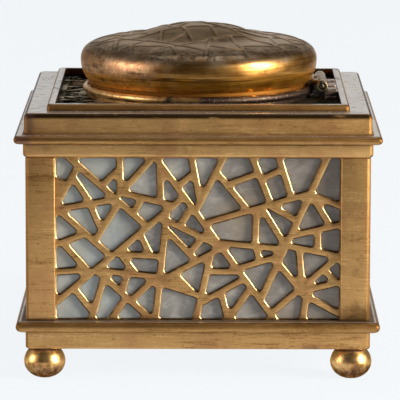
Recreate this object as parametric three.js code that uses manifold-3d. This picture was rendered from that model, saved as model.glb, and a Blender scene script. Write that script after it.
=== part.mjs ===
// A square desk inkstand: a small gilt-brass casket on four ball feet. Each wall is a pane of marbled glass
// behind a pierced lattice, held between two corner posts. The top is a moulded cornice round a sunk, pierced
// deck. A turned collar in the middle of the deck holds a glass ink cup, and a domed lid closes over it on a
// five-knuckle hinge at the right-hand side. Millimetres, +Z up, origin on the desk under the middle.
import * as THREE from 'three';
import { mergeVertices } from 'three/addons/utils/BufferGeometryUtils.js';
import Module from 'manifold-3d';

const wasm = await Module();
wasm.setup();

// Heights, stacked from the desk up.
const footHeight = 8.7;
const bandHeight = 5;
const baseBeadHeight = 3.05;
const wallHeight = 45.9;
const fasciaHeight = 4;
const corniceBeadHeight = 2.35;
const upperFasciaHeight = 6;
const rimHeight = 1.8;

// Widths. The plan is square, and each moulding is measured from the face of the corner posts.
const postSpan = 95.8;
const bandProud = 0.15;
const baseBeadProud = 2.8;
const fasciaProud = 0.6;
const corniceBeadProud = 3.1;
const upperFasciaProud = 0.3;
const edgeRound = 0.8;

// Clearances, and the overrun of a cut.
const seam = 0.2;
const runningGap = 0.3;
const overrun = 1;

// Corner posts and the layers of a wall, from the outside in.
const postLeg = 8.2;
const postWall = 1.5;
const postCornerRound = 1.2;
const latticeThickness = 1;
const paneThickness = 2.6;
const rabbetDepth = 2;
const latticeRise = 2.2;
const paneTuck = 1.3;

// Lattices: bar width, the area that a cell takes with its share of the bars, and how far the outermost
// bars reach behind the frame. The last value is the shortest side that an opening keeps.
const wallBarWidth = 2.1;
const wallCellArea = 54;
const wallBarTuck = 0.7;
const deckBarWidth = 1.3;
const deckCellArea = 36;
const leastSide = 0.2;

// Clips that hold a pane against its lattice, two to a pane, each at a share of the pane's height.
const clipStrip = 0.8;
const clipWidth = 5;
const clipFoot = 3;
const clipLap = 2.2;
const clipHeightShares = [0.27, 0.73];

// Base plate and feet. The stud of each foot passes through the plate into the base frame.
const plateThickness = 1.1;
const plateMargin = 2.4;
const ledgeWidth = 2.4;
const footInset = 5;
const footRadius = 5.8;
const footBallHeight = 9.2;
const footNeckRadius = 4.25;
const footFlatRadius = 2;
const studRadius = 1.5;
const studLength = 3.8;

// Cornice, rim and the sunk deck inside it. The rim is set in from the edge of the cornice's flat top.
const corniceWall = 2.1;
const rimInset = 6.1;
const rimWidth = 2.3;
const rimRound = 0.7;
const deckDrop = 0.7;
const deckLatticeThickness = 1;
const backingThickness = 0.8;
const deckTuck = 1;
const shelfWidth = 2;
const shelfThickness = 2;

// Collar: a turned ring with a foot, a bead, a seat for the lid, a neck and a ledge for the cup. Its bead
// stands proud of the lid's lip, its neck clears the lip's bore, and its skirt is stepped in from the neck.
const collarBeadProud = 2;
const collarBeadRadius = 1.15;
const collarBeadRise = 2.15;
const collarFootInset = 1.2;
const seatRise = 2.5;
const neckClearance = 0.4;
const neckWall = 3.2;
const neckRise = 5;
const skirtStep = 0.5;
const cupLedgeWidth = 2;
const cupLedgeDrop = 0.4;
const skirtEnd = 0.8;
const lockRingHeight = 2;
const lockRingWidth = 3.6;
const lockNotch = 1.6;
const lockNotchCount = 4;

// Ink cup.
const cupHeight = 46;
const cupFlangeThickness = 1.8;
const cupWall = 3.2;
const cupFloor = 4;
const cupTaper = 4;
const cupFootRound = 4.5;
const cupLipRound = 0.7;

// Lid: a cast dome with a bulging side, a flat shoulder and a low boss in the middle. Its lip is set in from
// the side.
const lidRise = 16.6;
const lidWall = 1.1;
const lipInset = 2.6;
const lipHeight = 1.5;
const lipWall = 0.9;
// Each pair is a share of the lid's radius and a share of its rise, from the mouth up to the crown.
const lidOutlineShares = [
  [0.938, 0], [0.968, 0.105], [0.991, 0.22], [1, 0.353], [0.993, 0.47], [0.962, 0.575], [0.9, 0.655],
  [0.812, 0.712], [0.7, 0.748], [0.6, 0.765], [0.53, 0.79], [0.44, 0.85], [0.35, 0.91], [0.2, 0.972], [0, 1],
];

// Hinge. Its axis runs from front to back at the right-hand side of the lid, set back from the rim by the
// fixed leaf, and the lid stands off from the axis.
const hingeSetback = 4.3;
const lidStandOff = 1.3;
const hingeRise = 3.8;
const knuckleRadius = 1.6;
const barrelLength = 24;
const knuckleCount = 5;
const knuckleGap = 0.3;
const pinRadius = 0.75;
const pinRecess = 0.35;
const leafThickness = 0.9;
const leafBlockRise = 3;
const lidLeafThickness = 1.5;
const lidLeafInset = 0.35;
const leafScrewRadius = 0.6;
const leafScrewHeadRadius = 0.95;
const leafScrewHeadHeight = 0.5;
const leafScrewSlot = 0.3;
const leafScrewTail = 0.5;

// Facets of the round shapes, and how near two points are that count as one.
const roundSteps = 36;
const smallRoundSteps = 18;
const arcSteps = 3;
const lidOutlineSteps = 17;
const squareSides = 4;
const weldDistance = 1e-4;

// Cracked-ice pattern: how far a split may turn and shift, and the strides that spread turns and shifts.
const splitTurnShare = 0.85;
const splitShiftShare = 0.16;
const turnStride = 0.618;
const shiftStride = 0.755;
const deckSeed = 4;

// Levels worked out from the heights.
const bandBottom = footHeight;
const baseBeadBottom = bandBottom + bandHeight;
const baseTop = baseBeadBottom + baseBeadHeight;
const corniceBottom = baseTop + wallHeight;
const corniceBeadBottom = corniceBottom + fasciaHeight;
const corniceBeadTop = corniceBeadBottom + corniceBeadHeight;
const corniceTop = corniceBeadTop + upperFasciaHeight;
const rabbetFloor = baseTop - rabbetDepth;
const deckTop = corniceTop - deckDrop;
const backingTop = deckTop - deckLatticeThickness;
const shelfTop = backingTop - backingThickness;
const seatHeight = deckTop + seatRise;
const lipBottom = seatHeight + runningGap;
const lidMouth = lipBottom + lipHeight;
const hingeHeight = deckTop + hingeRise;
const cupLedge = deckTop - cupLedgeDrop;

// Reaches worked out from the widths. A reach is the distance from the middle to a face.
const postFace = postSpan / 2;
const postBack = postFace - postWall;
const openingReach = postFace - postLeg;
const latticeFace = postBack - seam;
const latticeBack = latticeFace - latticeThickness;
const paneFace = latticeBack - seam;
const paneBack = paneFace - paneThickness;
const paneReach = openingReach + paneTuck;
const ledgeReach = paneBack - ledgeWidth;
const plateReach = postFace - plateMargin;
const footReach = postFace - footInset;
const corniceTopReach = postFace + upperFasciaProud;
const rimOuterReach = corniceTopReach - rimInset;
const rimInnerReach = rimOuterReach - rimWidth;
const deckReach = rimInnerReach + deckTuck;
const deckRabbetReach = deckReach + seam;
const leafRight = rimInnerReach - seam;
const hingeReach = leafRight - hingeSetback;
const leafLeft = hingeReach + knuckleRadius / 2;
const leafScrewReach = (leafLeft + leafRight) / 2;
const knucklePitch = barrelLength / knuckleCount;
const lidRadius = hingeReach - lidStandOff;
const lipReach = lidRadius - lipInset;
const lipBore = lipReach - lipWall;
const collarBeadReach = lipReach + collarBeadProud;
const neckReach = lipBore - neckClearance;
const skirtReach = neckReach - skirtStep;
const collarBore = neckReach - neckWall;
const skirtBore = collarBore - cupLedgeWidth;

// Materials, by what each piece is made of.
const gilt = new THREE.MeshStandardMaterial({ color: 0xb08a4a, roughness: 0.42, metalness: 1 });
const lidBronze = new THREE.MeshStandardMaterial({ color: 0x9a7240, roughness: 0.3, metalness: 1 });
const darkBrass = new THREE.MeshStandardMaterial({ color: 0x2b2a26, roughness: 0.6, metalness: 0.8 });
const agedBrass = new THREE.MeshStandardMaterial({ color: 0x8b8068, roughness: 0.45, metalness: 1 });
const steel = new THREE.MeshStandardMaterial({ color: 0x5d5c55, roughness: 0.4, metalness: 1 });
const marbledGlass = new THREE.MeshStandardMaterial({ color: 0xb9bec2, roughness: 0.18, metalness: 0 });
const clearGlass = new THREE.MeshStandardMaterial({ color: 0xcfe0dc, roughness: 0.05, metalness: 0 });

// The four walls go round in this order, a quarter turn each.
const sides = ['front', 'right', 'back', 'left'];
const quarter = Math.PI / 2;

const inkstand = new THREE.Group();

function addPiece(name, geometry, material, turn = 0) {
  const piece = new THREE.Mesh(geometry, material);
  piece.name = name;
  piece.rotation.z = turn;
  inkstand.add(piece);
}

// Solids for cutting and joining, and back again.
function solidOf(geometry) {
  const bare = geometry.index ? geometry.toNonIndexed() : geometry.clone();
  bare.deleteAttribute('normal');
  bare.deleteAttribute('uv');
  const merged = mergeVertices(bare, weldDistance);
  const mesh = new wasm.Mesh({
    numProp: 3,
    vertProperties: new Float32Array(merged.attributes.position.array),
    triVerts: new Uint32Array(merged.index.array),
  });
  return new wasm.Manifold(mesh);
}

function geometryOf(solid) {
  const mesh = solid.getMesh();
  const geometry = new THREE.BufferGeometry();
  geometry.setAttribute('position', new THREE.BufferAttribute(mesh.vertProperties, mesh.numProp));
  geometry.setIndex(new THREE.BufferAttribute(mesh.triVerts, 1));
  return geometry;
}

function cut(geometry, tools) {
  return geometryOf(tools.map(solidOf).reduce((solid, tool) => solid.subtract(tool), solidOf(geometry)));
}

function join(geometries) {
  return geometryOf(geometries.map(solidOf).reduce((whole, solid) => whole.add(solid)));
}

// An outline of [reach, height] points, turned about the vertical axis. It starts and ends on the axis, or it
// is closed here.
function turned(outline, steps) {
  const points = outline.map(([reach, height]) => new THREE.Vector2(reach, height));
  if (points[0].x > 0) points.push(points[0].clone());
  if (THREE.ShapeUtils.area(points) < 0) points.reverse();
  return new THREE.LatheGeometry(points, steps).rotateX(quarter);
}

// The same outline taken round a square, with mitred corners.
function mitred(outline) {
  const corners = outline.map(([reach, height]) => [reach * Math.SQRT2, height]);
  return turned(corners, squareSides).rotateZ(Math.PI / squareSides);
}

// Points of an arc from one angle to another, in degrees, with both ends.
function arc(centreReach, centreHeight, radius, from, to, steps = arcSteps, flatten = 1) {
  return Array.from({ length: steps + 1 }, (_, i) => {
    const angle = THREE.MathUtils.degToRad(from + ((to - from) * i) / steps);
    return [centreReach + radius * Math.cos(angle), centreHeight + radius * flatten * Math.sin(angle)];
  });
}

// Half-round bead on the outside of a moulding, from its lower edge to its upper edge.
function bead(reach, bottom, height) {
  const radius = height / 2;
  return arc(reach - radius, bottom + radius, radius, -90, 90, arcSteps * 2);
}

function box(x0, x1, y0, y1, z0, z1) {
  const block = new THREE.BoxGeometry(x1 - x0, y1 - y0, z1 - z0);
  return block.translate((x0 + x1) / 2, (y0 + y1) / 2, (z0 + z1) / 2);
}

// Square plate over the middle.
function plate(reach, z0, z1) {
  return box(-reach, reach, -reach, reach, z0, z1);
}

function upright(radius, x, y, z0, z1, steps = smallRoundSteps) {
  const cylinder = new THREE.CylinderGeometry(radius, radius, z1 - z0, steps).rotateX(quarter);
  return cylinder.translate(x, y, (z0 + z1) / 2);
}

// Cylinder on the hinge axis, from one place to another along it.
function onHingeAxis(radius, y0, y1) {
  const cylinder = new THREE.CylinderGeometry(radius, radius, y1 - y0, smallRoundSteps);
  return cylinder.translate(hingeReach, (y0 + y1) / 2, hingeHeight);
}

function shapeOf(points) {
  return new THREE.Shape(points.map(([x, y]) => new THREE.Vector2(x, y)));
}

function rectangle(x0, x1, y0, y1) {
  return [[x0, y0], [x1, y0], [x1, y1], [x0, y1]];
}

function extruded(shape, depth) {
  return new THREE.ExtrudeGeometry(shape, { depth, bevelEnabled: false, curveSegments: arcSteps });
}

// Cracked-ice pattern. A rectangle is split by straight bars, the longest cell next, until the cells are
// small enough, so every cell stays convex.
function crackedIce(region, area, barWidth, seed) {
  let cells = [region];
  const count = Math.round(cellArea(region) / area);
  while (cells.length < count) {
    const longest = longer(cells, (cell) => Math.hypot(...diagonal(cell)));
    const halves = splitCell(longest, seed + cells.length);
    cells = cells.filter((cell) => cell !== longest).concat(halves);
  }
  return cells.map((cell) => insetCell(cell, barWidth / 2)).filter((cell) => cellArea(cell) > barWidth ** 2);
}

function longer(items, lengthOf) {
  return items.reduce((best, item) => (lengthOf(item) > lengthOf(best) ? item : best));
}

function diagonal(cell) {
  const steps = cell.flatMap(([x, y]) => cell.map(([u, v]) => [u - x, v - y]));
  return longer(steps, (step) => Math.hypot(...step));
}

// Splits a cell across its longest diagonal, with a wobble that repeats from run to run.
function splitCell(cell, step) {
  const [alongX, alongY] = diagonal(cell);
  const shift = wobble(step * shiftStride) * splitShiftShare;
  const angle = Math.atan2(alongY, alongX) + wobble(step * turnStride) * splitTurnShare;
  const px = middle(cell, 0) + alongX * shift;
  const py = middle(cell, 1) + alongY * shift;
  const nx = Math.cos(angle);
  const ny = Math.sin(angle);
  return [keepBehind(cell, px, py, nx, ny), keepBehind(cell, px, py, -nx, -ny)];
}

function wobble(value) {
  return value - Math.floor(value) - 1 / 2;
}

function middle(cell, axis) {
  return cell.reduce((sum, point) => sum + point[axis], 0) / cell.length;
}

// The part of a cell behind the line through a point, whose normal points forwards.
function keepBehind(cell, px, py, nx, ny) {
  const ahead = ([x, y]) => (x - px) * nx + (y - py) * ny;
  return cell.flatMap((here, i) => {
    const next = cell[(i + 1) % cell.length];
    const a = ahead(here);
    const b = ahead(next);
    const kept = a <= 0 ? [here] : [];
    if (a * b >= 0) return kept;
    const t = a / (a - b);
    return [...kept, [here[0] + (next[0] - here[0]) * t, here[1] + (next[1] - here[1]) * t]];
  });
}

// Moves every side of a cell inwards, then drops corners that have come too near the next one.
function insetCell(cell, inset) {
  const open = cell.reduce((kept, [x, y], i) => {
    const [u, v] = cell[(i + 1) % cell.length];
    const length = Math.hypot(u - x, v - y);
    const nx = (v - y) / length;
    const ny = (x - u) / length;
    return keepBehind(kept, x - nx * inset, y - ny * inset, nx, ny);
  }, cell);
  return open.filter(([x, y], i) => {
    const [u, v] = open[(i + 1) % open.length];
    return Math.hypot(u - x, v - y) > leastSide;
  });
}

function cellArea(cell) {
  return THREE.ShapeUtils.area(cell.map(([x, y]) => new THREE.Vector2(x, y)));
}

// Prisms that pierce a sheet lying between two levels.
function piercings(cells, bottom, top) {
  const depth = top - bottom + overrun * 2;
  return cells.map((cell) => extruded(shapeOf(cell), depth).translate(0, 0, bottom - overrun));
}

// Base frame: a plain band with a bead on top, a rabbet for the lattices and panes above, and one for the
// plate below. Each foot is screwed in at a corner.
function makeBase() {
  const bandReach = postFace + bandProud;
  const plateRabbetReach = plateReach + seam;
  const plateTop = bandBottom + plateThickness;
  const moulding = mitred([
    [ledgeReach, plateTop + seam],
    [plateRabbetReach, plateTop + seam],
    [plateRabbetReach, bandBottom],
    ...arc(bandReach - edgeRound, bandBottom + edgeRound, edgeRound, -90, 0),
    [bandReach, baseBeadBottom],
    ...bead(postFace + baseBeadProud, baseBeadBottom, baseBeadHeight),
    [postBack, baseTop],
    [postBack, rabbetFloor],
    [ledgeReach, rabbetFloor],
  ]);
  const corner = new THREE.Vector2(footReach, -footReach);
  const places = sides.map((_, i) => corner.clone().rotateAround(new THREE.Vector2(), i * quarter));
  const holeTop = bandBottom + studLength + seam;
  const holes = places.map(({ x, y }) => upright(studRadius + seam, x, y, bandBottom - overrun, holeTop));
  addPiece('base_frame', cut(moulding, holes), gilt);
  addPiece('base_plate', cut(plate(plateReach, bandBottom, plateTop), holes), agedBrass);
  places.forEach(({ x, y }, i) => addPiece('foot_' + (i + 1), foot().translate(x, y, 0), gilt));
}

// Ball foot: a squashed ball, ground flat underneath, with a neck and a stud.
function foot() {
  const flatAngle = Math.acos(footFlatRadius / footRadius);
  const neckAngle = Math.acos(footNeckRadius / footRadius);
  const flatten = footBallHeight / 2 / footRadius;
  const centre = (footBallHeight / 2) * Math.sin(flatAngle);
  const from = -THREE.MathUtils.radToDeg(flatAngle);
  const to = THREE.MathUtils.radToDeg(neckAngle);
  return turned([
    [0, 0],
    ...arc(0, centre, footRadius, from, to, arcSteps * 2, flatten),
    [footNeckRadius, bandBottom],
    [studRadius, bandBottom],
    [studRadius, bandBottom + studLength],
    [0, bandBottom + studLength],
  ], smallRoundSteps);
}

// Corner posts: angles with a rounded outer corner, between the base frame and the cornice.
function makePosts() {
  const angle = new THREE.Shape();
  angle.moveTo(openingReach, -postFace);
  angle.lineTo(postFace - postCornerRound, -postFace);
  angle.absarc(postFace - postCornerRound, -postFace + postCornerRound, postCornerRound, -quarter, 0);
  angle.lineTo(postFace, -openingReach);
  angle.lineTo(postBack, -openingReach);
  angle.lineTo(postBack, -postBack);
  angle.lineTo(openingReach, -postBack);
  const post = extruded(angle, wallHeight).translate(0, 0, baseTop);
  sides.forEach((_, i) => addPiece('corner_post_' + (i + 1), post, gilt, i * quarter));
}

// A wall: the pierced lattice, the pane behind it and the two clips that hold the pane.
function makeWalls() {
  const sheetReach = latticeBack - seam;
  const barReach = openingReach + wallBarTuck;
  const sheetHeight = corniceBottom + latticeRise - rabbetFloor;
  const paneTop = corniceBottom + paneTuck;
  const barBottom = rabbetDepth - wallBarTuck;
  const barTop = barBottom + wallHeight + wallBarTuck * 2;
  const region = rectangle(-barReach, barReach, barBottom, barTop);

  sides.forEach((side, i) => {
    const cells = crackedIce(region, wallCellArea, wallBarWidth, i);
    const sheet = box(-sheetReach, sheetReach, 0, sheetHeight, 0, latticeThickness);
    const lattice = cut(sheet, piercings(cells, 0, latticeThickness));
    const standing = lattice.rotateX(quarter).translate(0, -latticeBack, rabbetFloor);
    addPiece('lattice_' + side, standing, gilt, i * quarter);

    const pane = box(-paneReach, paneReach, -paneFace, -paneBack, rabbetFloor, paneTop);
    addPiece('pane_' + side, pane, marbledGlass, i * quarter);

    clipHeightShares.forEach((share, k) => {
      const level = rabbetFloor + (paneTop - rabbetFloor) * share;
      const clip = extruded(clipPlan(k ? 1 : -1), clipWidth).translate(0, 0, level - clipWidth / 2);
      addPiece('clip_' + side + '_' + (k + 1), clip, agedBrass, i * quarter);
    });
  });
}

// Plan of a clip: its foot lies on the lattice beside the pane, and its lip laps over the back of the pane.
function clipPlan(hand) {
  const edge = paneReach + seam;
  const front = -paneFace;
  const back = -paneBack + seam;
  const outline = [
    [edge, front], [edge + clipFoot, front], [edge + clipFoot, front + clipStrip],
    [edge + clipStrip, front + clipStrip], [edge + clipStrip, back + clipStrip],
    [edge - clipLap, back + clipStrip], [edge - clipLap, back], [edge, back],
  ];
  return shapeOf(outline.map(([x, y]) => [x * hand, y]));
}

// Cornice: fascia, bead, upper fascia and flat top, with a shelf inside that carries the sunk deck. The rim
// lies on top and laps over the edge of the deck.
function makeCornice() {
  const fasciaReach = postFace + fasciaProud;
  const innerReach = fasciaReach - corniceWall;
  const shelfBottom = shelfTop - shelfThickness;
  addPiece('cornice', mitred([
    [innerReach, corniceBottom],
    ...arc(fasciaReach - edgeRound, corniceBottom + edgeRound, edgeRound, -90, 0),
    [fasciaReach, corniceBeadBottom],
    ...bead(postFace + corniceBeadProud, corniceBeadBottom, corniceBeadHeight),
    [corniceTopReach, corniceBeadTop],
    ...arc(corniceTopReach - edgeRound, corniceTop - edgeRound, edgeRound, 0, 90),
    [deckRabbetReach, corniceTop],
    [deckRabbetReach, shelfTop],
    [deckRabbetReach - shelfWidth, shelfTop],
    [deckRabbetReach - shelfWidth, shelfBottom],
    [deckRabbetReach + shelfWidth, shelfBottom],
    [deckRabbetReach + shelfWidth, shelfTop],
    [innerReach, shelfTop],
  ]), gilt);

  const rimTop = corniceTop + rimHeight;
  addPiece('rim_moulding', mitred([
    [rimInnerReach, corniceTop],
    [rimOuterReach, corniceTop],
    ...arc(rimOuterReach - rimRound, rimTop - rimRound, rimRound, 0, 90),
    [rimInnerReach, rimTop],
  ]), gilt);
}

// Sunk deck: a pierced plate on a dark backing plate, both bored for the collar and the leaf screws. The
// lattice stays solid under the collar's foot and under the fixed leaf of the hinge.
function makeDeck() {
  const below = shelfTop - overrun;
  const bores = [
    upright(skirtReach + runningGap, 0, 0, below, corniceTop, roundSteps),
    ...leafScrewPlaces().map((y) => upright(leafScrewRadius + seam, leafScrewReach, y, below, corniceTop)),
  ];
  addPiece('deck_backing', cut(plate(deckReach, shelfTop, backingTop), bores), darkBrass);

  const barReach = rimInnerReach - deckBarWidth / 2;
  const region = rectangle(-barReach, barReach, -barReach, barReach);
  const solidPart = solidOf(join([
    upright(collarBeadReach + deckBarWidth, 0, 0, below, corniceTop, roundSteps),
    box(0, rimInnerReach, -barrelLength / 2, barrelLength / 2, below, corniceTop),
  ]));
  const openings = piercings(crackedIce(region, deckCellArea, deckBarWidth, deckSeed), backingTop, deckTop)
    .map((prism) => solidOf(prism).subtract(solidPart))
    .filter((opening) => opening.volume() > deckBarWidth ** 2 * deckLatticeThickness)
    .map(geometryOf);
  addPiece('deck_lattice', cut(plate(deckReach, backingTop, deckTop), [...bores, ...openings]), gilt);
}

// Collar: foot, bead, seat and neck above the deck, and a skirt below it that a notched ring grips.
function makeCollar() {
  const beadCentreReach = collarBeadReach - collarBeadRadius;
  const beadCentreHeight = deckTop + collarBeadRise;
  const collarFootReach = collarBeadReach - collarFootInset;
  const seatReach = lipReach + runningGap;
  const ringTop = shelfTop - seam;
  const ringBottom = ringTop - lockRingHeight;
  addPiece('cup_collar', turned([
    [skirtBore, ringBottom - skirtEnd],
    [skirtReach, ringBottom - skirtEnd],
    [skirtReach, deckTop],
    [collarFootReach, deckTop],
    ...arc(beadCentreReach, beadCentreHeight, collarBeadRadius, -90, 90, arcSteps * 2),
    [seatReach, beadCentreHeight + collarBeadRadius / 2],
    [seatReach, seatHeight],
    [neckReach, seatHeight],
    [neckReach, deckTop + neckRise],
    [collarBore, deckTop + neckRise],
    [collarBore, cupLedge],
    [skirtBore, cupLedge],
  ], roundSteps), gilt);

  const ringBore = skirtReach + seam;
  const ringReach = ringBore + lockRingWidth;
  const ring = turned(rectangle(ringBore, ringReach, ringBottom, ringTop), roundSteps);
  const notch = box(
    ringReach - lockNotch, ringReach + overrun, -lockNotch / 2, lockNotch / 2,
    ringBottom - overrun, shelfTop);
  const notches = Array.from({ length: lockNotchCount }, (_, i) => (
    notch.clone().rotateZ((i * Math.PI * 2) / lockNotchCount)));
  addPiece('lock_ring', cut(ring, notches), agedBrass);
}

// Ink cup: a pressed-glass tumbler that hangs by its flange from the ledge in the collar.
function makeCup() {
  const flangeBottom = cupLedge + seam;
  const rim = flangeBottom + cupFlangeThickness;
  const bottom = rim - cupHeight;
  const flangeReach = collarBore - runningGap;
  const shoulderReach = skirtBore - runningGap;
  const footReachOut = shoulderReach - cupTaper;
  const boreReach = shoulderReach - cupWall;
  const floorReach = footReachOut - cupWall;
  addPiece('ink_cup', turned([
    [0, bottom],
    ...arc(footReachOut - cupFootRound, bottom + cupFootRound, cupFootRound, -90, 0),
    [shoulderReach, flangeBottom],
    [flangeReach, flangeBottom],
    ...arc(flangeReach - cupLipRound, rim - cupLipRound, cupLipRound, 0, 90),
    ...arc(boreReach + cupLipRound, rim - cupLipRound, cupLipRound, 90, 180),
    ...arc(floorReach - cupFootRound, bottom + cupFloor + cupFootRound, cupFootRound, 0, -90),
    [0, bottom + cupFloor],
  ], roundSteps), clearGlass);
}

// Outline of the lid from its mouth to its crown, grown outwards, or shrunk by a wall.
function lidOutline(grow) {
  const points = lidOutlineShares.map(([reachShare, riseShare]) => new THREE.Vector2(
    (lidRadius + grow) * reachShare, lidMouth + (lidRise + grow) * riseShare));
  const curve = new THREE.SplineCurve(points).getPoints(lidOutlineSteps);
  return curve.map(({ x, y }, i) => [i === lidOutlineSteps ? 0 : x, y]);
}

function makeLid() {
  const inside = [[lipBore, lipBottom], [lipBore, lidMouth], ...lidOutline(-lidWall).slice(1)];
  const outside = [[lipReach, lipBottom], [lipReach, lidMouth], ...lidOutline(0)];
  addPiece('lid_dome', turned([...inside.reverse(), ...outside], roundSteps), lidBronze);
}

// Hinge: a fixed leaf screwed to the deck, a lid leaf soldered to the lid, and a pin through their knuckles.
function makeHinge() {
  const knuckles = Array.from({ length: knuckleCount }, (_, i) => knuckleSpan(i));
  const fixed = knuckles.filter((_, i) => i % 2 === 0);
  const moving = knuckles.filter((_, i) => i % 2 === 1);
  const halfLength = barrelLength / 2;
  const bore = onHingeAxis(pinRadius + runningGap, -halfLength - overrun, halfLength + overrun);
  const leafTop = deckTop + leafThickness;

  const fixedLeaf = join([
    box(leafLeft, leafRight, -halfLength, halfLength, deckTop, leafTop),
    ...fixed.map(([y0, y1]) => box(hingeReach, leafRight, y0, y1, deckTop, deckTop + leafBlockRise)),
    ...fixed.map(([y0, y1]) => onHingeAxis(knuckleRadius, y0, y1)),
  ]);
  const screwHoles = leafScrewPlaces().map((y) => upright(
    leafScrewRadius + seam, leafScrewReach, y, shelfTop, leafTop + overrun));
  addPiece('fixed_leaf', cut(fixedLeaf, [bore, ...screwHoles]), agedBrass);

  const flapBottom = hingeHeight - seam;
  const flapTop = flapBottom + lidLeafThickness;
  const flapSide = moving[moving.length - 1][1] - lidLeafInset;
  const flap = box(lipBore, hingeReach, -flapSide, flapSide, flapBottom, flapTop);
  const lidSpace = turned([
    [0, seatHeight], [lipReach + runningGap, seatHeight], ...lidOutline(runningGap),
  ], roundSteps);
  const fixedSpace = fixed.map(([y0, y1]) => (
    onHingeAxis(knuckleRadius + runningGap, y0 - knuckleGap, y1 + knuckleGap)));
  const lidLeaf = join([
    cut(flap, [lidSpace, ...fixedSpace]),
    ...moving.map(([y0, y1]) => onHingeAxis(knuckleRadius, y0, y1)),
  ]);
  addPiece('lid_leaf', cut(lidLeaf, [bore]), agedBrass);
  addPiece('hinge_pin', onHingeAxis(pinRadius, pinRecess - halfLength, halfLength - pinRecess), steel);
  leafScrewPlaces().forEach((y, i) => addPiece('leaf_screw_' + (i + 1), leafScrew(y, leafTop), steel));
}

// Both ends of one knuckle, with half a gap at each joint between neighbours.
function knuckleSpan(index) {
  const start = index * knucklePitch - barrelLength / 2;
  const startGap = index > 0 ? knuckleGap / 2 : 0;
  const endGap = index < knuckleCount - 1 ? knuckleGap / 2 : 0;
  return [start + startGap, start + knucklePitch - endGap];
}

function leafScrewPlaces() {
  return [-knucklePitch, knucklePitch];
}

function leafScrew(y, leafTop) {
  const headTop = leafTop + leafScrewHeadHeight;
  const slotReach = leafScrewHeadRadius + overrun;
  const screw = join([
    upright(leafScrewHeadRadius, leafScrewReach, y, leafTop, headTop),
    upright(leafScrewRadius, leafScrewReach, y, shelfTop - leafScrewTail, headTop - leafScrewSlot),
  ]);
  const slot = box(
    leafScrewReach - slotReach, leafScrewReach + slotReach, y - leafScrewSlot / 2, y + leafScrewSlot / 2,
    headTop - leafScrewSlot, headTop + overrun);
  return cut(screw, [slot]);
}

makeBase();
makePosts();
makeWalls();
makeCornice();
makeDeck();
makeCollar();
makeCup();
makeLid();
makeHinge();

export default inkstand;
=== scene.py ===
"""A square desk inkstand of gilt brass: pierced walls over marbled glass, ball feet, a sunk pierced deck and
a domed lid hinged over a glass ink cup. Sizes are in millimetres until a corner is set, and +Z is up."""
import math

import bmesh
import bpy
from mathutils import Matrix, Vector, noise
from mathutils.geometry import tessellate_polygon


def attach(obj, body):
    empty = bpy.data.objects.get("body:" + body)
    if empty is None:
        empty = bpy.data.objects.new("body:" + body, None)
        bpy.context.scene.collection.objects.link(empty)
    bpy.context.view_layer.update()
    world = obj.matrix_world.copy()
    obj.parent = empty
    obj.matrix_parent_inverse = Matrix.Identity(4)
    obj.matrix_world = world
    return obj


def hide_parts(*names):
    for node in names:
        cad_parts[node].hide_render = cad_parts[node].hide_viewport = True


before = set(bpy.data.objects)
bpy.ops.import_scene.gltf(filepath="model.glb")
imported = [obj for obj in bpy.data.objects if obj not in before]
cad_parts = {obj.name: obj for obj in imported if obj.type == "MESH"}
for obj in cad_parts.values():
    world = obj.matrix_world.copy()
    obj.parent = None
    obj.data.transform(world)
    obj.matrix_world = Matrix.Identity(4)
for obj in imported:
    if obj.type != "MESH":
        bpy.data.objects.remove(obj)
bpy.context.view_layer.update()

MM = 0.001
SIDES = ("front", "right", "back", "left")
QUARTER = math.pi / 2

# Case: levels from the floor up, and reaches from the middle to a face.
BAND_BOTTOM = 8.7
BASE_BEAD_BOTTOM = 13.7
BASE_TOP = 16.75
RABBET_FLOOR = 14.75
CORNICE_BOTTOM = 62.65
CORNICE_BEAD_BOTTOM = 66.65
CORNICE_BEAD_TOP = 69.0
CORNICE_TOP = 75.0
RIM_TOP = 76.8
DECK_TOP = 74.3
SHELF_TOP = 72.5
SHELF_BOTTOM = 70.5
POST_FACE = 47.9
POST_BACK = 46.4
OPENING_REACH = 39.7
BAND_REACH = 48.05
BASE_BEAD_REACH = 50.7
FASCIA_REACH = 48.5
CORNICE_BEAD_REACH = 51.0
UPPER_FASCIA_REACH = 48.2
CORNICE_INNER_REACH = 46.4
LEDGE_REACH = 40.0
PLATE_RABBET_REACH = 45.7
PLATE_RABBET_TOP = 10.3
RIM_OUTER = 42.1
RIM_INNER = 39.8
DECK_RABBET = 41.0
SHELF_WIDTH = 2.0

# Roundings of the mouldings, and of the corners where they meet.
EDGE_ROUND = 0.8
FASCIA_ROUND = 1.1
TOP_ROUND = 1.35
COVE_ROUND = 0.9
RIM_ROUND = 0.9
CORNER_EASE = 1.1
BORE_EASE = 0.05
POST_ROUND = 1.2
POST_EDGE_ROUND = 0.28

# Walls: pierced sheets, with panes behind them whose faces wave by a share of their depth.
LATTICE_BACK = 45.2
LATTICE_THICKNESS = 1.0
LATTICE_SHEET_REACH = 45.0
LATTICE_SHEET_HEIGHT = 50.1
PANE_FACE = 45.0
PANE_BACK = 42.4
PANE_REACH = 41.0
PANE_TOP = 63.95
WAVE_DEPTH = 0.12
WAVE_SHARE = 0.6

# Ball feet, each with a neck and a stud.
FOOT_REACH = 42.9
FOOT_NECK = 4.25
STUD_REACH = 1.5
STUD_TOP = 12.5

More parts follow.
